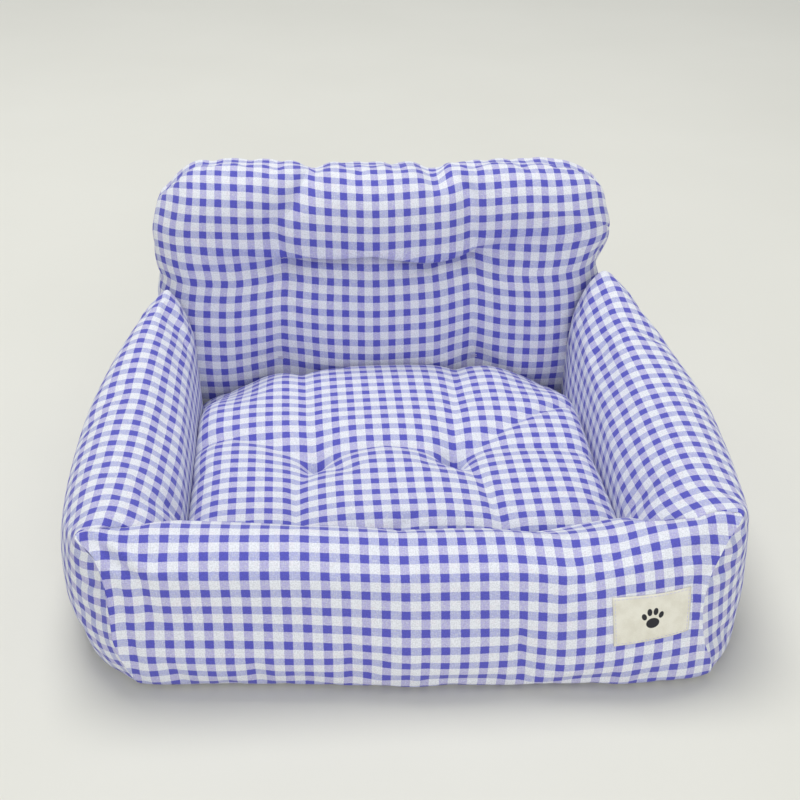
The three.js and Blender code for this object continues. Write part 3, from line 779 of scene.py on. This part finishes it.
def tube_along(points, radius, sides=8, ply=0.0):
    """Points and faces of a round tube along a path, closed at both ends. ply makes it twisted."""
    points = np.asarray(points, float)
    along = np.gradient(points, axis=0)
    along /= np.linalg.norm(along, axis=1, keepdims=True)
    across = np.cross(along, [0.21, 0.35, 0.91])
    across /= np.linalg.norm(across, axis=1, keepdims=True)
    third = np.cross(along, across)
    length = arc_length(points)
    angle = np.arange(sides) * 2 * math.pi / sides
    rings = []
    for i, centre in enumerate(points):
        turn = angle + ply * length[i]
        size = radius * (1 + (0.22 * np.cos(2 * angle) if ply else 0))
        size = size * (0.55 if i in (0, len(points) - 1) else 1.0)
        rim_offset = (size * np.cos(turn))[:, None] * across[i]
        rim_offset = rim_offset + (size * np.sin(turn))[:, None] * third[i]
        rings.append(centre + rim_offset)
    vertices = np.concatenate(rings)
    faces = []
    for i in range(len(points) - 1):
        for j in range(sides):
            k = (j + 1) % sides
            faces.append([i * sides + j, i * sides + k, (i + 1) * sides + k, (i + 1) * sides + j])
    faces.append(list(range(sides))[::-1])
    faces.append([(len(points) - 1) * sides + j for j in range(sides)])
    return vertices, faces


def joined(name, parts):
    """One object from several lists of points and faces."""
    points, faces, start = [], [], 0
    for vertices, part_faces in parts:
        points.append(vertices)
        faces += [[start + i for i in face] for face in part_faces]
        start += len(vertices)
    return mesh_object(name, np.concatenate(points), faces)


THREAD = 0.55


def stitch(tree, middle, half, across, axis, side):
    """A short stitch that lies on the surface, its ends sunk into the cloth."""
    path = []
    for share in np.linspace(-1, 1, 9):
        start = np.array(middle, float)
        start[across] += share * half
        start[axis] += side * 120
        direction = np.zeros(3)
        direction[axis] = -side
        spot, normal = meet(tree, start, direction)
        path.append(spot + normal * (THREAD * 0.8 - 1.9 * share**6))
    return tube_along(path, THREAD, 8, 2.2)


def tack(name, node, tree, axis, across, front, offset):
    """A tack: two stitches on the front, one behind, and the thread that runs between them."""
    low, high = node_box(node)
    middle = (low + high) / 2
    parts = []
    for shift in (-0.9, 0.9):
        place = middle.copy()
        place[offset] += shift
        parts.append(stitch(tree, place, 3.6, across, axis, front))
    parts.append(stitch(tree, middle, 3.6, across, axis, -front))
    direction = np.zeros(3)
    direction[axis] = -front
    near, _ = meet(tree, middle - direction * 120, direction)
    far, _ = meet(tree, middle + direction * 120, -direction)
    steps = np.linspace(0.01, 0.99, 40)[:, None]
    parts.append(tube_along(near + (far - near) * steps, THREAD, 6, 2.2))
    return joined(name, parts)


LABEL_WIDTH = 61.0
LABEL_HEIGHT = 38.0
LABEL_CORNERS = [(152, 50), (211, 57.5), (212, 92), (150, 87.5)]


def build_label(tree):
    """The cream label sewn to the front wall, from its four corners in x and z."""
    a, b, c, d = (np.array(p, float) for p in LABEL_CORNERS)
    u, v = np.meshgrid(np.linspace(0, 1, 34), np.linspace(0, 1, 25))
    u, v = u[..., None], v[..., None]
    flat = (a * (1 - u) + b * u) * (1 - v) + (d * (1 - u) + c * u) * v
    upper, lower = np.zeros(flat.shape[:2] + (3,)), np.zeros(flat.shape[:2] + (3,))
    for i in range(flat.shape[0]):
        for j in range(flat.shape[1]):
            spot, normal = meet(tree, (flat[i, j, 0], -400, flat[i, j, 1]), (0, 1, 0))
            upper[i, j], lower[i, j] = spot, normal
    spots, normals = upper.copy(), lower.copy()
    for _ in range(6):
        for grid in (spots, normals):
            around = grid[:-2, 1:-1] + grid[2:, 1:-1] + grid[1:-1, :-2] + grid[1:-1, 2:]
            grid[1:-1, 1:-1] = (grid[1:-1, 1:-1] + around / 4) / 2
    edge = np.minimum(np.minimum(u, 1 - u) * LABEL_WIDTH, np.minimum(v, 1 - v) * LABEL_HEIGHT)
    lift = 0.75 + 0.25 * smooth(edge / 5)
    cloth = np.concatenate([(u - 0.5) * LABEL_WIDTH, (v - 0.5) * LABEL_HEIGHT], axis=2)
    top = spots + normals * (lift + 0.3)
    return slab("front_label_patch", top, spots + normals * (lift - 0.3), cloth), top


STITCH = np.linspace(0.14, 0.86, 5)  # the part of its pitch that a stitch covers
LABEL_PITCH = 3.1
ZIP_PITCH = 3.4


def label_stitches(top):
    """Stitches that run round the label, just inside its edge."""
    rows, columns = top.shape[:2]
    line = [top[1, j] for j in range(1, columns - 1)]
    line += [top[i, columns - 2] for i in range(2, rows - 1)]
    line += [top[rows - 2, j] for j in range(columns - 3, 0, -1)]
    line += [top[i, 1] for i in range(rows - 3, 1, -1)]
    line = np.array(line + line[:1])
    length = arc_length(line)
    count = int(length[-1] / LABEL_PITCH)
    parts = []
    for k in range(count):
        at = (k + STITCH) * length[-1] / count
        path = np.stack([np.interp(at, length, line[:, c]) for c in range(3)], axis=1)
        path[:, 1] -= [-0.12, 0.14, 0.2, 0.14, -0.12]
        parts.append(tube_along(path, 0.2, 6))
    return joined("front_label_stitches", parts)


def build_tape(name, node, wave):
    """A zip's tape: a thin woven strip, a little rippled."""
    low, high = node_box(node)
    columns = int((high[0] - low[0]) / 2) + 1
    x, z = np.meshgrid(np.linspace(low[0], high[0], columns), np.linspace(low[2], high[2], 13))
    middle = (low[1] + high[1]) / 2
    ripple = 0.06 * np.sin(x / 2.6 + wave)
    upper = np.stack([x, middle + 0.3 + ripple, z], axis=2)
    lower = np.stack([x, middle - 0.3 + ripple, z], axis=2)
    return slab(name, upper, lower, np.stack([x, z], axis=2))


def zip_stitches(name, node, edge):
    """A row of stitches along a tape's outer edge: edge is 1 for its upper, -1 for its lower."""
    low, high = node_box(node)
    z = (high[2] if edge > 0 else low[2]) - edge * 1.3
    face = (low[1] + high[1]) / 2 + 0.3
    y = face + np.array([-0.16, 0.12, 0.2, 0.12, -0.16])
    parts = []
    for k in range(int((high[0] - low[0]) / ZIP_PITCH)):
        x = low[0] + (k + STITCH) * ZIP_PITCH
        parts.append(tube_along(np.stack([x, y, np.full(5, z)], axis=1), 0.22, 6))
    return joined(name, parts)


def build_coil(name, node):
    """A zip's closed coil: two rows of hooked turns that mesh along the middle."""
    low, high = node_box(node)
    middle = (low + high) / 2
    pitch, parts = 1.5, []
    count = int((high[0] - low[0] - 1) / pitch)
    reach, rise = (high[2] - low[2]) / 2 - 0.3, (high[1] - low[1]) / 2 - 0.3
    for k in range(count):
        x = low[0] + 0.6 + k * pitch
        for side, shift in ((1, 0), (-1, pitch / 2)):
            turn = np.linspace(-0.25 * math.pi, 1.25 * math.pi, 8)
            z = middle[2] + side * (0.35 + (reach - 0.35) * 0.5 * (1 - np.sin(turn)))
            y = middle[1] + rise * 0.75 * np.cos(turn)
            path = np.stack([np.full(8, x + shift) + np.linspace(0, 0.3, 8), y, z], axis=1)
            parts.append(tube_along(path, 0.3, 6))
    return joined(name, parts)


def rounded_grid(half_x, half_y, front_corner, back_corner, step):
    """A grid over a rectangle with round corners: flat places x, y."""
    nx, ny = 2 * int(half_x / step) + 1, 2 * int(half_y / step) + 1
    x, y = np.meshgrid(np.linspace(-half_x, half_x, nx), np.linspace(-half_y, half_y, ny))
    corner = np.where(y < 0, float(front_corner), float(back_corner))
    over_x = np.clip((np.abs(x) - (half_x - corner)) / corner, 0, 1)
    over_y = np.clip((np.abs(y) - (half_y - corner)) / corner, 0, 1)
    length = np.hypot(over_x, over_y)
    square = np.maximum(over_x, over_y)
    shrink = np.where(length > 0, square / np.maximum(length, 1e-9), 1)
    x = np.sign(x) * (np.minimum(np.abs(x), half_x - corner) + corner * over_x * shrink)
    y = np.sign(y) * (np.minimum(np.abs(y), half_y - corner) + corner * over_y * shrink)
    return x, y


BASE_FRONT_WIDTH = 468.0
BASE_BACK_WIDTH = 416.0


def build_base_cloth():
    low, high = node_box("base_cloth")
    half = (high - low) / 2
    x, y = rounded_grid(BASE_FRONT_WIDTH / 2, half[1], 60, 22, 8.0)
    x = x * (1 + (BASE_BACK_WIDTH / BASE_FRONT_WIDTH - 1) * (y + half[1]) / (2 * half[1]))
    y = y + (low[1] + high[1]) / 2
    upper = np.stack([x, y, np.full(x.shape, high[2] - 0.1)], axis=2)
    lower = np.stack([x, y, np.full(x.shape, low[2] + 0.1)], axis=2)
    return slab("base_cloth_sheet", upper, lower, np.stack([x, y], axis=2))


def build_base_pad():
    """The foam pad under the seat cushion: a slab with soft edges and a slightly worn-in top."""
    low, high = node_box("base_pad")
    half = (high - low) / 2
    p, q, x, y, full = pillow_sheet(half[0], half[1], 5, 6.0)
    y = y + (low[1] + high[1]) / 2
    middle, rise = (low[2] + high[2]) / 2, half[2]
    dent = 0.5 * np.exp(-(x / 120) ** 2 - ((y + 5) / 100) ** 2)
    upper = np.stack([x, y, middle + (rise - dent) * full**0.5], axis=2)
    lower = np.stack([x, y, middle - rise * full**0.5], axis=2)
    return pillow_object("base_pad_foam", upper, lower, np.stack([p, q], axis=2))


def build_lining():
    """The plain cloth over the pad, with faint ripples where it is drawn in at the walls."""
    low, high = node_box("well_lining")
    x, y = rounded_grid((high[0] - low[0]) / 2 - 0.2, (high[1] - low[1]) / 2 - 0.2, 6, 6, 5.0)
    y = y + (low[1] + high[1]) / 2
    edge = np.minimum(high[0] - np.abs(x), np.minimum(high[1] - y, y - low[1]))
    ripple = 1 + np.sin(x / 7 + 1.3 * np.sin(y / 23)) * np.sin(y / 8 + x / 60)
    ripple = 0.35 * ripple * np.exp(-edge / 25)
    upper = np.stack([x, y, (low[2] + high[2]) / 2 + 0.25 + ripple], axis=2)
    lower = upper - [0, 0, 0.5]
    return slab("well_lining_sheet", upper, lower, np.stack([x, y], axis=2))


def build_care_label(tree):
    """The small satin tag behind, sewn in along its top edge and curling away below it."""
    low, high = node_box("care_label")
    x, v = np.meshgrid(np.linspace(low[0], high[0], 15), np.linspace(0, 1, 15))
    z = high[2] - v * (high[2] - low[2])
    spots = np.zeros(x.shape + (3,))
    for i in range(x.shape[0]):
        for j in range(x.shape[1]):
            spots[i, j] = meet(tree, (x[i, j], 400, z[i, j]), (0, -1, 0))[0]
    curl = 0.7 + 2.6 * v**2 + 0.5 * v * np.sin((x - low[0]) / 9)
    spots[:, :, 1] = np.maximum(spots[:, :, 1], spots[:1, :, 1]) + curl
    cloth = np.stack([x - low[0], z - low[2]], axis=2)
    return slab("care_label_tag", spots + [0, 0.15, 0], spots - [0, 0.15, 0], cloth)


# ---- materials ----


def new_material(name):
    material = bpy.data.materials.new(name)
    material.use_nodes = True
    nodes = material.node_tree.nodes
    nodes.clear()
    out = nodes.new("ShaderNodeOutputMaterial")
    shader = nodes.new("ShaderNodeBsdfPrincipled")
    material.node_tree.links.new(shader.outputs[0], out.inputs[0])
    return material, Nodes(material.node_tree, shader)


class Nodes:
    """Short forms for the nodes that the materials are made of."""

    def __init__(self, tree, shader):
        self.tree = tree
        self.shader = shader

    def show(self, colour, rough=None, height=None, strength=0.3, distance=0.0002):
        """Links a colour, a roughness and a bump's height to the shader."""
        self.tree.links.new(colour, self.shader.inputs["Base Color"])
        if rough is not None:
            self.tree.links.new(rough, self.shader.inputs["Roughness"])
        if height is not None:
            bump = self.add("Bump", {"Height": height, "Strength": strength, "Distance": distance})
            self.tree.links.new(bump.outputs[0], self.shader.inputs["Normal"])

    def fix(self, values):
        """Sets the shader's own values."""
        for key, value in values.items():
            self.shader.inputs[key].default_value = value

    def cloth(self):
        """The flat cloth coordinates, in metres."""
        return self.add("UVMap", uv_map="cloth").outputs[0]

    def noise(self, place, scale, detail, output="Fac"):
        inputs = {"Vector": place, "Scale": scale, "Detail": detail}
        return self.add("TexNoise", inputs).outputs[output]

    def vector(self, operation, a, b=None, scale=1.0):
        inputs = {0: a, 3: scale} if b is None else {0: a, 1: b}
        return self.add("VectorMath", inputs, operation=operation).outputs[0]

    def parts(self, vector):
        return self.add("SeparateXYZ", {0: vector}).outputs

    def times(self, a, b):
        return self.math("MULTIPLY", a, b)

    def plus(self, a, b):
        return self.math("ADD", a, b)

    def add(self, kind, inputs=(), **settings):
        node = self.tree.nodes.new("ShaderNode" + kind)
        for key, value in settings.items():
            setattr(node, key, value)
        for key, value in dict(inputs).items():
            if isinstance(value, bpy.types.NodeSocket):
                self.tree.links.new(value, node.inputs[key])
            else:
                node.inputs[key].default_value = value
        return node

    def math(self, operation, a, b=0.0, c=0.0):
        return self.add("Math", {0: a, 1: b, 2: c}, operation=operation).outputs[0]

    def ramp(self, value, low, high, to_low=0.0, to_high=1.0):
        node = self.add(
            "MapRange",
            {"Value": value, "From Min": low, "From Max": high, "To Min": to_low, "To Max": to_high},
            interpolation_type="SMOOTHSTEP",
        )
        return node.outputs[0]

    def mix(self, share, a, b):
        node = self.add("Mix", {0: share, 6: a, 7: b}, data_type="RGBA")
        return node.outputs[2]


WHITE = (0.79, 0.805, 0.85, 1)
BLUE = (0.10, 0.10, 0.50, 1)
LILAC = (0.46, 0.44, 0.70, 1)
PALE_BLUE = (0.43, 0.45, 0.70, 1)
PINK = (0.82, 0.74, 0.80, 1)
GREY = (0.50, 0.52, 0.60, 1)
STRIPE = 0.46


def gingham_material():
    material, n = new_material("gingham_cotton")
    uv = n.cloth()
    wobble = n.noise(uv, 500.0, 2.0, "Color")
    wobble = n.vector("SUBTRACT", wobble, (0.5, 0.5, 0.5))
    wobble = n.vector("SCALE", wobble, scale=0.0007)
    loose = n.vector("ADD", uv, wobble)
    repeats = n.vector("SCALE", loose, scale=1 / (CHECK * MM))
    part = n.parts(repeats)
    stripes = []
    for axis in (0, 1):
        place = n.math("FRACT", part[axis])
        off = n.math("ABSOLUTE", n.math("SUBTRACT", place, 0.5))
        stripes.append(n.ramp(off, STRIPE / 2 - 0.02, STRIPE / 2 + 0.02, 1.0, 0.0))
    warp, weft = stripes
    # yarns: long thin streaks one way and the other
    yarn_u = n.add("Mapping", {0: uv, "Scale": (1500, 220, 1)}).outputs[0]
    yarn_v = n.add("Mapping", {0: uv, "Scale": (220, 1500, 1)}).outputs[0]
    streak_u = n.noise(yarn_u, 1.0, 2.0)
    streak_v = n.noise(yarn_v, 1.0, 2.0)
    grain = n.times(n.math("SUBTRACT", n.plus(streak_u, streak_v), 1.0), 2.6)
    cell = n.vector("FLOOR", repeats)
    chance = n.add("TexWhiteNoise", {"Vector": cell}, noise_dimensions="3D").outputs["Value"]
    broad = n.noise(uv, 60.0, 3.0)
    tint = n.ramp(n.plus(chance, n.times(broad, 0.6)), 1.05, 1.3)
    white = n.mix(n.times(tint, 0.30), WHITE, PINK)
    white = n.mix(n.ramp(grain, -1.3, -0.1, 0.22, 0.0), white, GREY)
    single = n.mix(n.ramp(n.plus(warp, n.times(grain, 0.8)), 0.25, 0.75), PALE_BLUE, LILAC)
    both = n.times(warp, weft)
    any_stripe = n.math("MAXIMUM", warp, weft)
    pale = n.mix(n.times(any_stripe, n.ramp(grain, -0.75, 0.75, 0.45, 1.4)), white, single)
    colour = n.mix(n.times(both, n.ramp(grain, -1.6, 0.0, 0.86, 1.0)), pale, BLUE)
    slub = n.noise(uv, 900.0, 3.0)
    shade = n.ramp(n.plus(slub, n.times(grain, 0.12)), 0.3, 0.7, 0.86, 1.09)
    colour = n.vector("SCALE", colour, scale=shade)
    threads = n.parts(loose)
    weave_u, weave_v = (n.math("SINE", n.times(threads[k], 9000.0)) for k in (0, 1))
    weave = n.plus(n.times(weave_u, weave_v), n.times(grain, 0.8))
    n.show(colour, n.ramp(grain, -1.0, 1.0, 0.78, 0.92), weave, 0.35, 0.00012)
    n.fix({"Sheen Weight": 0.18, "Sheen Roughness": 0.45, "Specular IOR Level": 0.25})
    return material


def plain_cloth(name, colour, scale=1800.0, rough=0.85):
    material, n = new_material(name)
    place = n.add("TexCoord").outputs["Object"]
    fine = n.noise(place, scale, 3.0)
    broad = n.noise(place, 35.0, 3.0)
    dark = tuple(c * 0.82 for c in colour[:3]) + (1,)
    mixed = n.plus(n.times(fine, 0.7), n.times(broad, 0.3))
    shown = n.mix(n.ramp(mixed, 0.35, 0.6), dark, colour)
    n.show(shown, n.ramp(fine, 0.3, 0.7, rough - 0.05, rough + 0.05), fine)
    return material


def finish_piece(obj, body, material, slot, *nodes):
    obj.data.materials.append(material)
    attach(obj, body)
    if nodes:
        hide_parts(*nodes)
    return obj


def label_material():
    """Cream woven cloth with a plain paw print in its middle."""
    material, n = new_material("label_cloth")
    uv = n.cloth()
    part = n.parts(uv)
    ink = None
    for x, y, wide, high, turn in PAW:
        dx = n.math("SUBTRACT", part[0], x * MM)
        dy = n.math("SUBTRACT", part[1], y * MM)
        cos, sin = math.cos(turn), math.sin(turn)
        along = n.plus(n.times(dx, cos / (wide * MM)), n.times(dy, sin / (wide * MM)))
        over = n.math("SUBTRACT", n.times(dy, cos / (high * MM)), n.times(dx, sin / (high * MM)))
        far = n.plus(n.times(along, along), n.times(over, over))
        toe = n.ramp(far, 0.93, 1.07, 1.0, 0.0)
        ink = toe if ink is None else n.math("MAXIMUM", ink, toe)
    fine = n.noise(uv, 2500.0, 2.0)
    broad = n.noise(uv, 90.0, 3.0)
    shade = n.ramp(n.plus(fine, broad), 0.8, 1.15)
    cream = n.mix(shade, (0.70, 0.67, 0.56, 1), (0.80, 0.775, 0.67, 1))
    weave_u, weave_v = (n.math("SINE", n.times(part[k], 12000.0)) for k in (0, 1))
    height = n.plus(n.times(weave_u, weave_v), fine)
    printed = n.mix(ink, cream, (0.03, 0.03, 0.035, 1))
    n.show(printed, n.ramp(fine, 0.3, 0.7, 0.75, 0.9), height, 0.3, 0.0001)
    n.fix({"Specular IOR Level": 0.25})
    return material


# The print on the label: one pad and four toes, as centre, half sizes in mm and turn
PAW = [
    (0.0, -3.6, 5.2, 4.2, 0.0), (-6.6, 2.2, 1.9, 2.7, 0.35), (-2.4, 5.4, 1.9, 2.9, 0.1),
    (2.4, 5.4, 1.9, 2.9, -0.1), (6.6, 2.2, 1.9, 2.7, -0.35),
]


def dotted_material():
    """Grey bottom cloth with rows of small non-slip dots."""
    material, n = new_material("non_slip_cloth")
    uv = n.cloth()
    grid = n.vector("SCALE", uv, scale=1 / 0.006)
    cell = n.vector("FRACTION", grid)
    cell = n.vector("SUBTRACT", cell, (0.5, 0.5, 0))
    far = n.add("VectorMath", {0: cell}, operation="LENGTH").outputs["Value"]
    dot = n.ramp(far, 0.22, 0.27, 1.0, 0.0)
    fine = n.noise(uv, 2200.0, 3.0)
    cloth = n.mix(n.ramp(fine, 0.35, 0.65), (0.21, 0.20, 0.26, 1), (0.29, 0.28, 0.34, 1))
    height = n.plus(n.times(dot, 3.0), fine)
    n.show(n.mix(dot, cloth, (0.42, 0.42, 0.50, 1)), n.ramp(dot, 0.0, 1.0, 0.88, 0.5), height, 0.6)
    return material


def tape_material():
    """Twilled zip tape."""
    material, n = new_material("zip_tape")
    uv = n.cloth()
    part = n.parts(uv)
    twill = n.math("SINE", n.times(n.plus(part[0], n.times(part[1], 1.7)), 5200.0))
    fine = n.noise(uv, 1900.0, 3.0)
    shade = n.ramp(n.plus(n.times(twill, 0.25), fine), 0.2, 0.8)
    colour = n.mix(shade, (0.10, 0.10, 0.33, 1), (0.17, 0.17, 0.46, 1))
    n.show(colour, n.ramp(fine, 0.3, 0.7, 0.7, 0.85), twill, 0.4, 0.00015)
    return material


def hard_material(name, colour, metallic, rough, scale):
    material, n = new_material(name)
    place = n.add("TexCoord").outputs["Object"]
    fine = n.noise(place, scale, 4.0)
    dark = tuple(c * 0.85 for c in colour[:3]) + (1,)
    shown = n.mix(n.ramp(fine, 0.3, 0.7), dark, colour)
    n.show(shown, n.ramp(fine, 0.3, 0.7, rough - 0.07, rough + 0.1), fine, 0.15, 0.0001)
    n.fix({"Metallic": metallic})
    return material


# ---- camera, floor and light ----

CAMERA_PLACE = (-76.0, -1006.3, 721.0)
CAMERA_PITCH = math.radians(30.5)
CAMERA_TURN = math.radians(-4.6)
CAMERA_ROLL = math.radians(0.7)
CAMERA_LENS = 58.65


def add_camera():
    data = bpy.data.cameras.new("camera")
    data.lens = CAMERA_LENS
    data.sensor_width = 36
    data.clip_start = 0.01
    camera = bpy.data.objects.new("camera", data)
    turn, pitch, roll = CAMERA_TURN, CAMERA_PITCH, CAMERA_ROLL
    flat = math.cos(pitch)
    ahead = Vector((-math.sin(turn) * flat, math.cos(turn) * flat, -math.sin(pitch)))
    level = Vector((math.cos(turn), math.sin(turn), 0))
    up = level.cross(ahead)
    right = level * math.cos(roll) + up * math.sin(roll)
    up = right.cross(ahead)
    axes = Matrix((right, up, -ahead)).transposed().to_4x4()
    camera.matrix_world = Matrix.Translation(Vector(CAMERA_PLACE) * MM) @ axes
    bpy.context.scene.collection.objects.link(camera)
    bpy.context.scene.camera = camera


FLOOR_HALF = 6000.0
FLOOR_LEVEL = -0.2


def add_floor():
    turns = ((-1, -1), (1, -1), (1, 1), (-1, 1))
    corners = [(x * FLOOR_HALF, y * FLOOR_HALF, FLOOR_LEVEL) for x, y in turns]
    floor = mesh_object("floor", corners, [[0, 1, 2, 3]])
    material, n = new_material("pale_floor")
    place = n.add("TexCoord").outputs["Object"]
    cloud = n.noise(place, 3.0, 4.0)
    n.show(n.mix(cloud, (0.70, 0.69, 0.62, 1), (0.75, 0.74, 0.67, 1)))
    n.fix({"Roughness": 0.8})
    floor.data.materials.append(material)


def add_light(name, place, target, size, power):
    data = bpy.data.lights.new(name, "AREA")
    data.shape = "DISK"
    data.size = size
    data.energy = power
    light = bpy.data.objects.new(name, data)
    light.location = place
    aim = Vector(target) - Vector(place)
    light.rotation_euler = aim.to_track_quat("-Z", "Y").to_euler()
    bpy.context.scene.collection.objects.link(light)


def add_studio():
    world = bpy.data.worlds.new("studio")
    bpy.context.scene.world = world
    world.use_nodes = True
    back = world.node_tree.nodes["Background"]
    back.inputs[0].default_value = (0.93, 0.96, 1.0, 1)
    back.inputs[1].default_value = 0.49
    add_light("key", (-0.4, 0.9, 3.35), (0, 0, 0.1), 2.0, 71)
    add_light("fill", (0.3, -3.4, 1.3), (0, 0, 0.15), 2.0, 46)
    view = bpy.context.scene.view_settings
    view.view_transform = "Standard"


# ---- assembly ----

add_camera()
add_floor()
add_studio()

front_wall, front_wall_held = build_front_wall()
right_arm, right_arm_held = build_arm(1, "right_arm")
left_arm, left_arm_held = build_arm(-1, "left_arm")
backrest, backrest_pins = build_backrest()
cushion, cushion_pins = build_cushion()

tubes = ((front_wall, front_wall_held), (right_arm, right_arm_held), (left_arm, left_arm_held))
padded = [(obj, pins, 2.2, 0.05, caps, 104.0) for obj, (pins, caps) in tubes]
padded.append((backrest, backrest_pins, 2.4, 0.05, 6.0, 14.9))
padded.append((cushion, cushion_pins, 2.4, 0.05, 6.0, 14.9))
inflate(padded)
press_foot(backrest, WELL_BACK + 0.4)

gingham = gingham_material()


def add_subdivision(obj):
    modifier = obj.modifiers.new("smooth", "SUBSURF")
    modifier.levels = 1
    modifier.render_levels = 1


for obj, body, node in (
    (front_wall, "surround", "front_wall"), (right_arm, "surround", "right_arm"),
    (left_arm, "surround", "left_arm"), (backrest, "surround", "backrest"),
    (cushion, "seat_cushion", "cushion"),
):
    finish_piece(obj, body, gingham, "gingham", node + "_cover", node + "_fill")
    add_subdivision(obj)

thread = plain_cloth("thread", (0.62, 0.60, 0.80, 1), 2600.0)
foam = plain_cloth("foam", (0.78, 0.74, 0.62, 1), 900.0)
lining = plain_cloth("lining_cloth", (0.72, 0.72, 0.78, 1), 2200.0)
satin = plain_cloth("label_satin", (0.84, 0.84, 0.84, 1), 2600.0, 0.4)
label_cloth = label_material()
tape = tape_material()
coil = hard_material("zip_coil", (0.12, 0.12, 0.38, 1), 0.0, 0.35, 700.0)
metal = hard_material("zip_metal", (0.72, 0.73, 0.76, 1), 1.0, 0.3, 900.0)

back_tree = surface_tree(backrest)
for name in ("upper_left", "upper_right", "lower_left", "lower_right"):
    node = "backrest_tack_" + name
    piece = tack("back_stitch_" + name, node, back_tree, 1, 0, -1, 2)
    finish_piece(piece, "surround", thread, "thread", node)

seat_tree = surface_tree(cushion)
for name in ("left", "right"):
    node = "cushion_tack_" + name
    piece = tack("seat_stitch_" + name, node, seat_tree, 2, 0, 1, 1)
    finish_piece(piece, "seat_cushion", thread, "thread", node)

front_patch, patch_top = build_label(surface_tree(front_wall))
finish_piece(front_patch, "surround", label_cloth, "label_cloth", "front_label")
patch_stitches = label_stitches(patch_top)
finish_piece(patch_stitches, "surround", thread, "thread")

tag = build_care_label(back_tree)
finish_piece(tag, "surround", satin, "label_satin", "care_label")

for owner, body, rests in (("backrest", "surround", backrest), ("cushion", "seat_cushion", cushion)):
    for part, wave, edge in (("upper", 0.0, 1), ("lower", 1.4, -1)):
        node = owner + "_zip_tape_" + part
        piece = build_tape(node + "_strip", node, wave)
        finish_piece(piece, body, tape, "zip_tape", node)
        sewing = zip_stitches(node + "_stitches", node, edge)
        finish_piece(sewing, body, thread, "thread")
    node = owner + "_zip_coil"
    finish_piece(build_coil(node + "_turns", node), body, coil, "zip_coil", node)
    for part in ("_zip_slider", "_zip_pull"):
        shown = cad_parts[owner + part]
        shown = bpy.data.objects[owner + part] if not hasattr(shown, "data") else shown
        shown.data.materials.clear()
        shown.data.materials.append(metal)

bottom = build_base_cloth()
finish_piece(bottom, "surround", dotted_material(), "non_slip_cloth", "base_cloth")

pad = build_base_pad()
finish_piece(pad, "surround", foam, "foam", "base_pad")

well_sheet = build_lining()
finish_piece(well_sheet, "surround", lining, "lining_cloth", "well_lining")
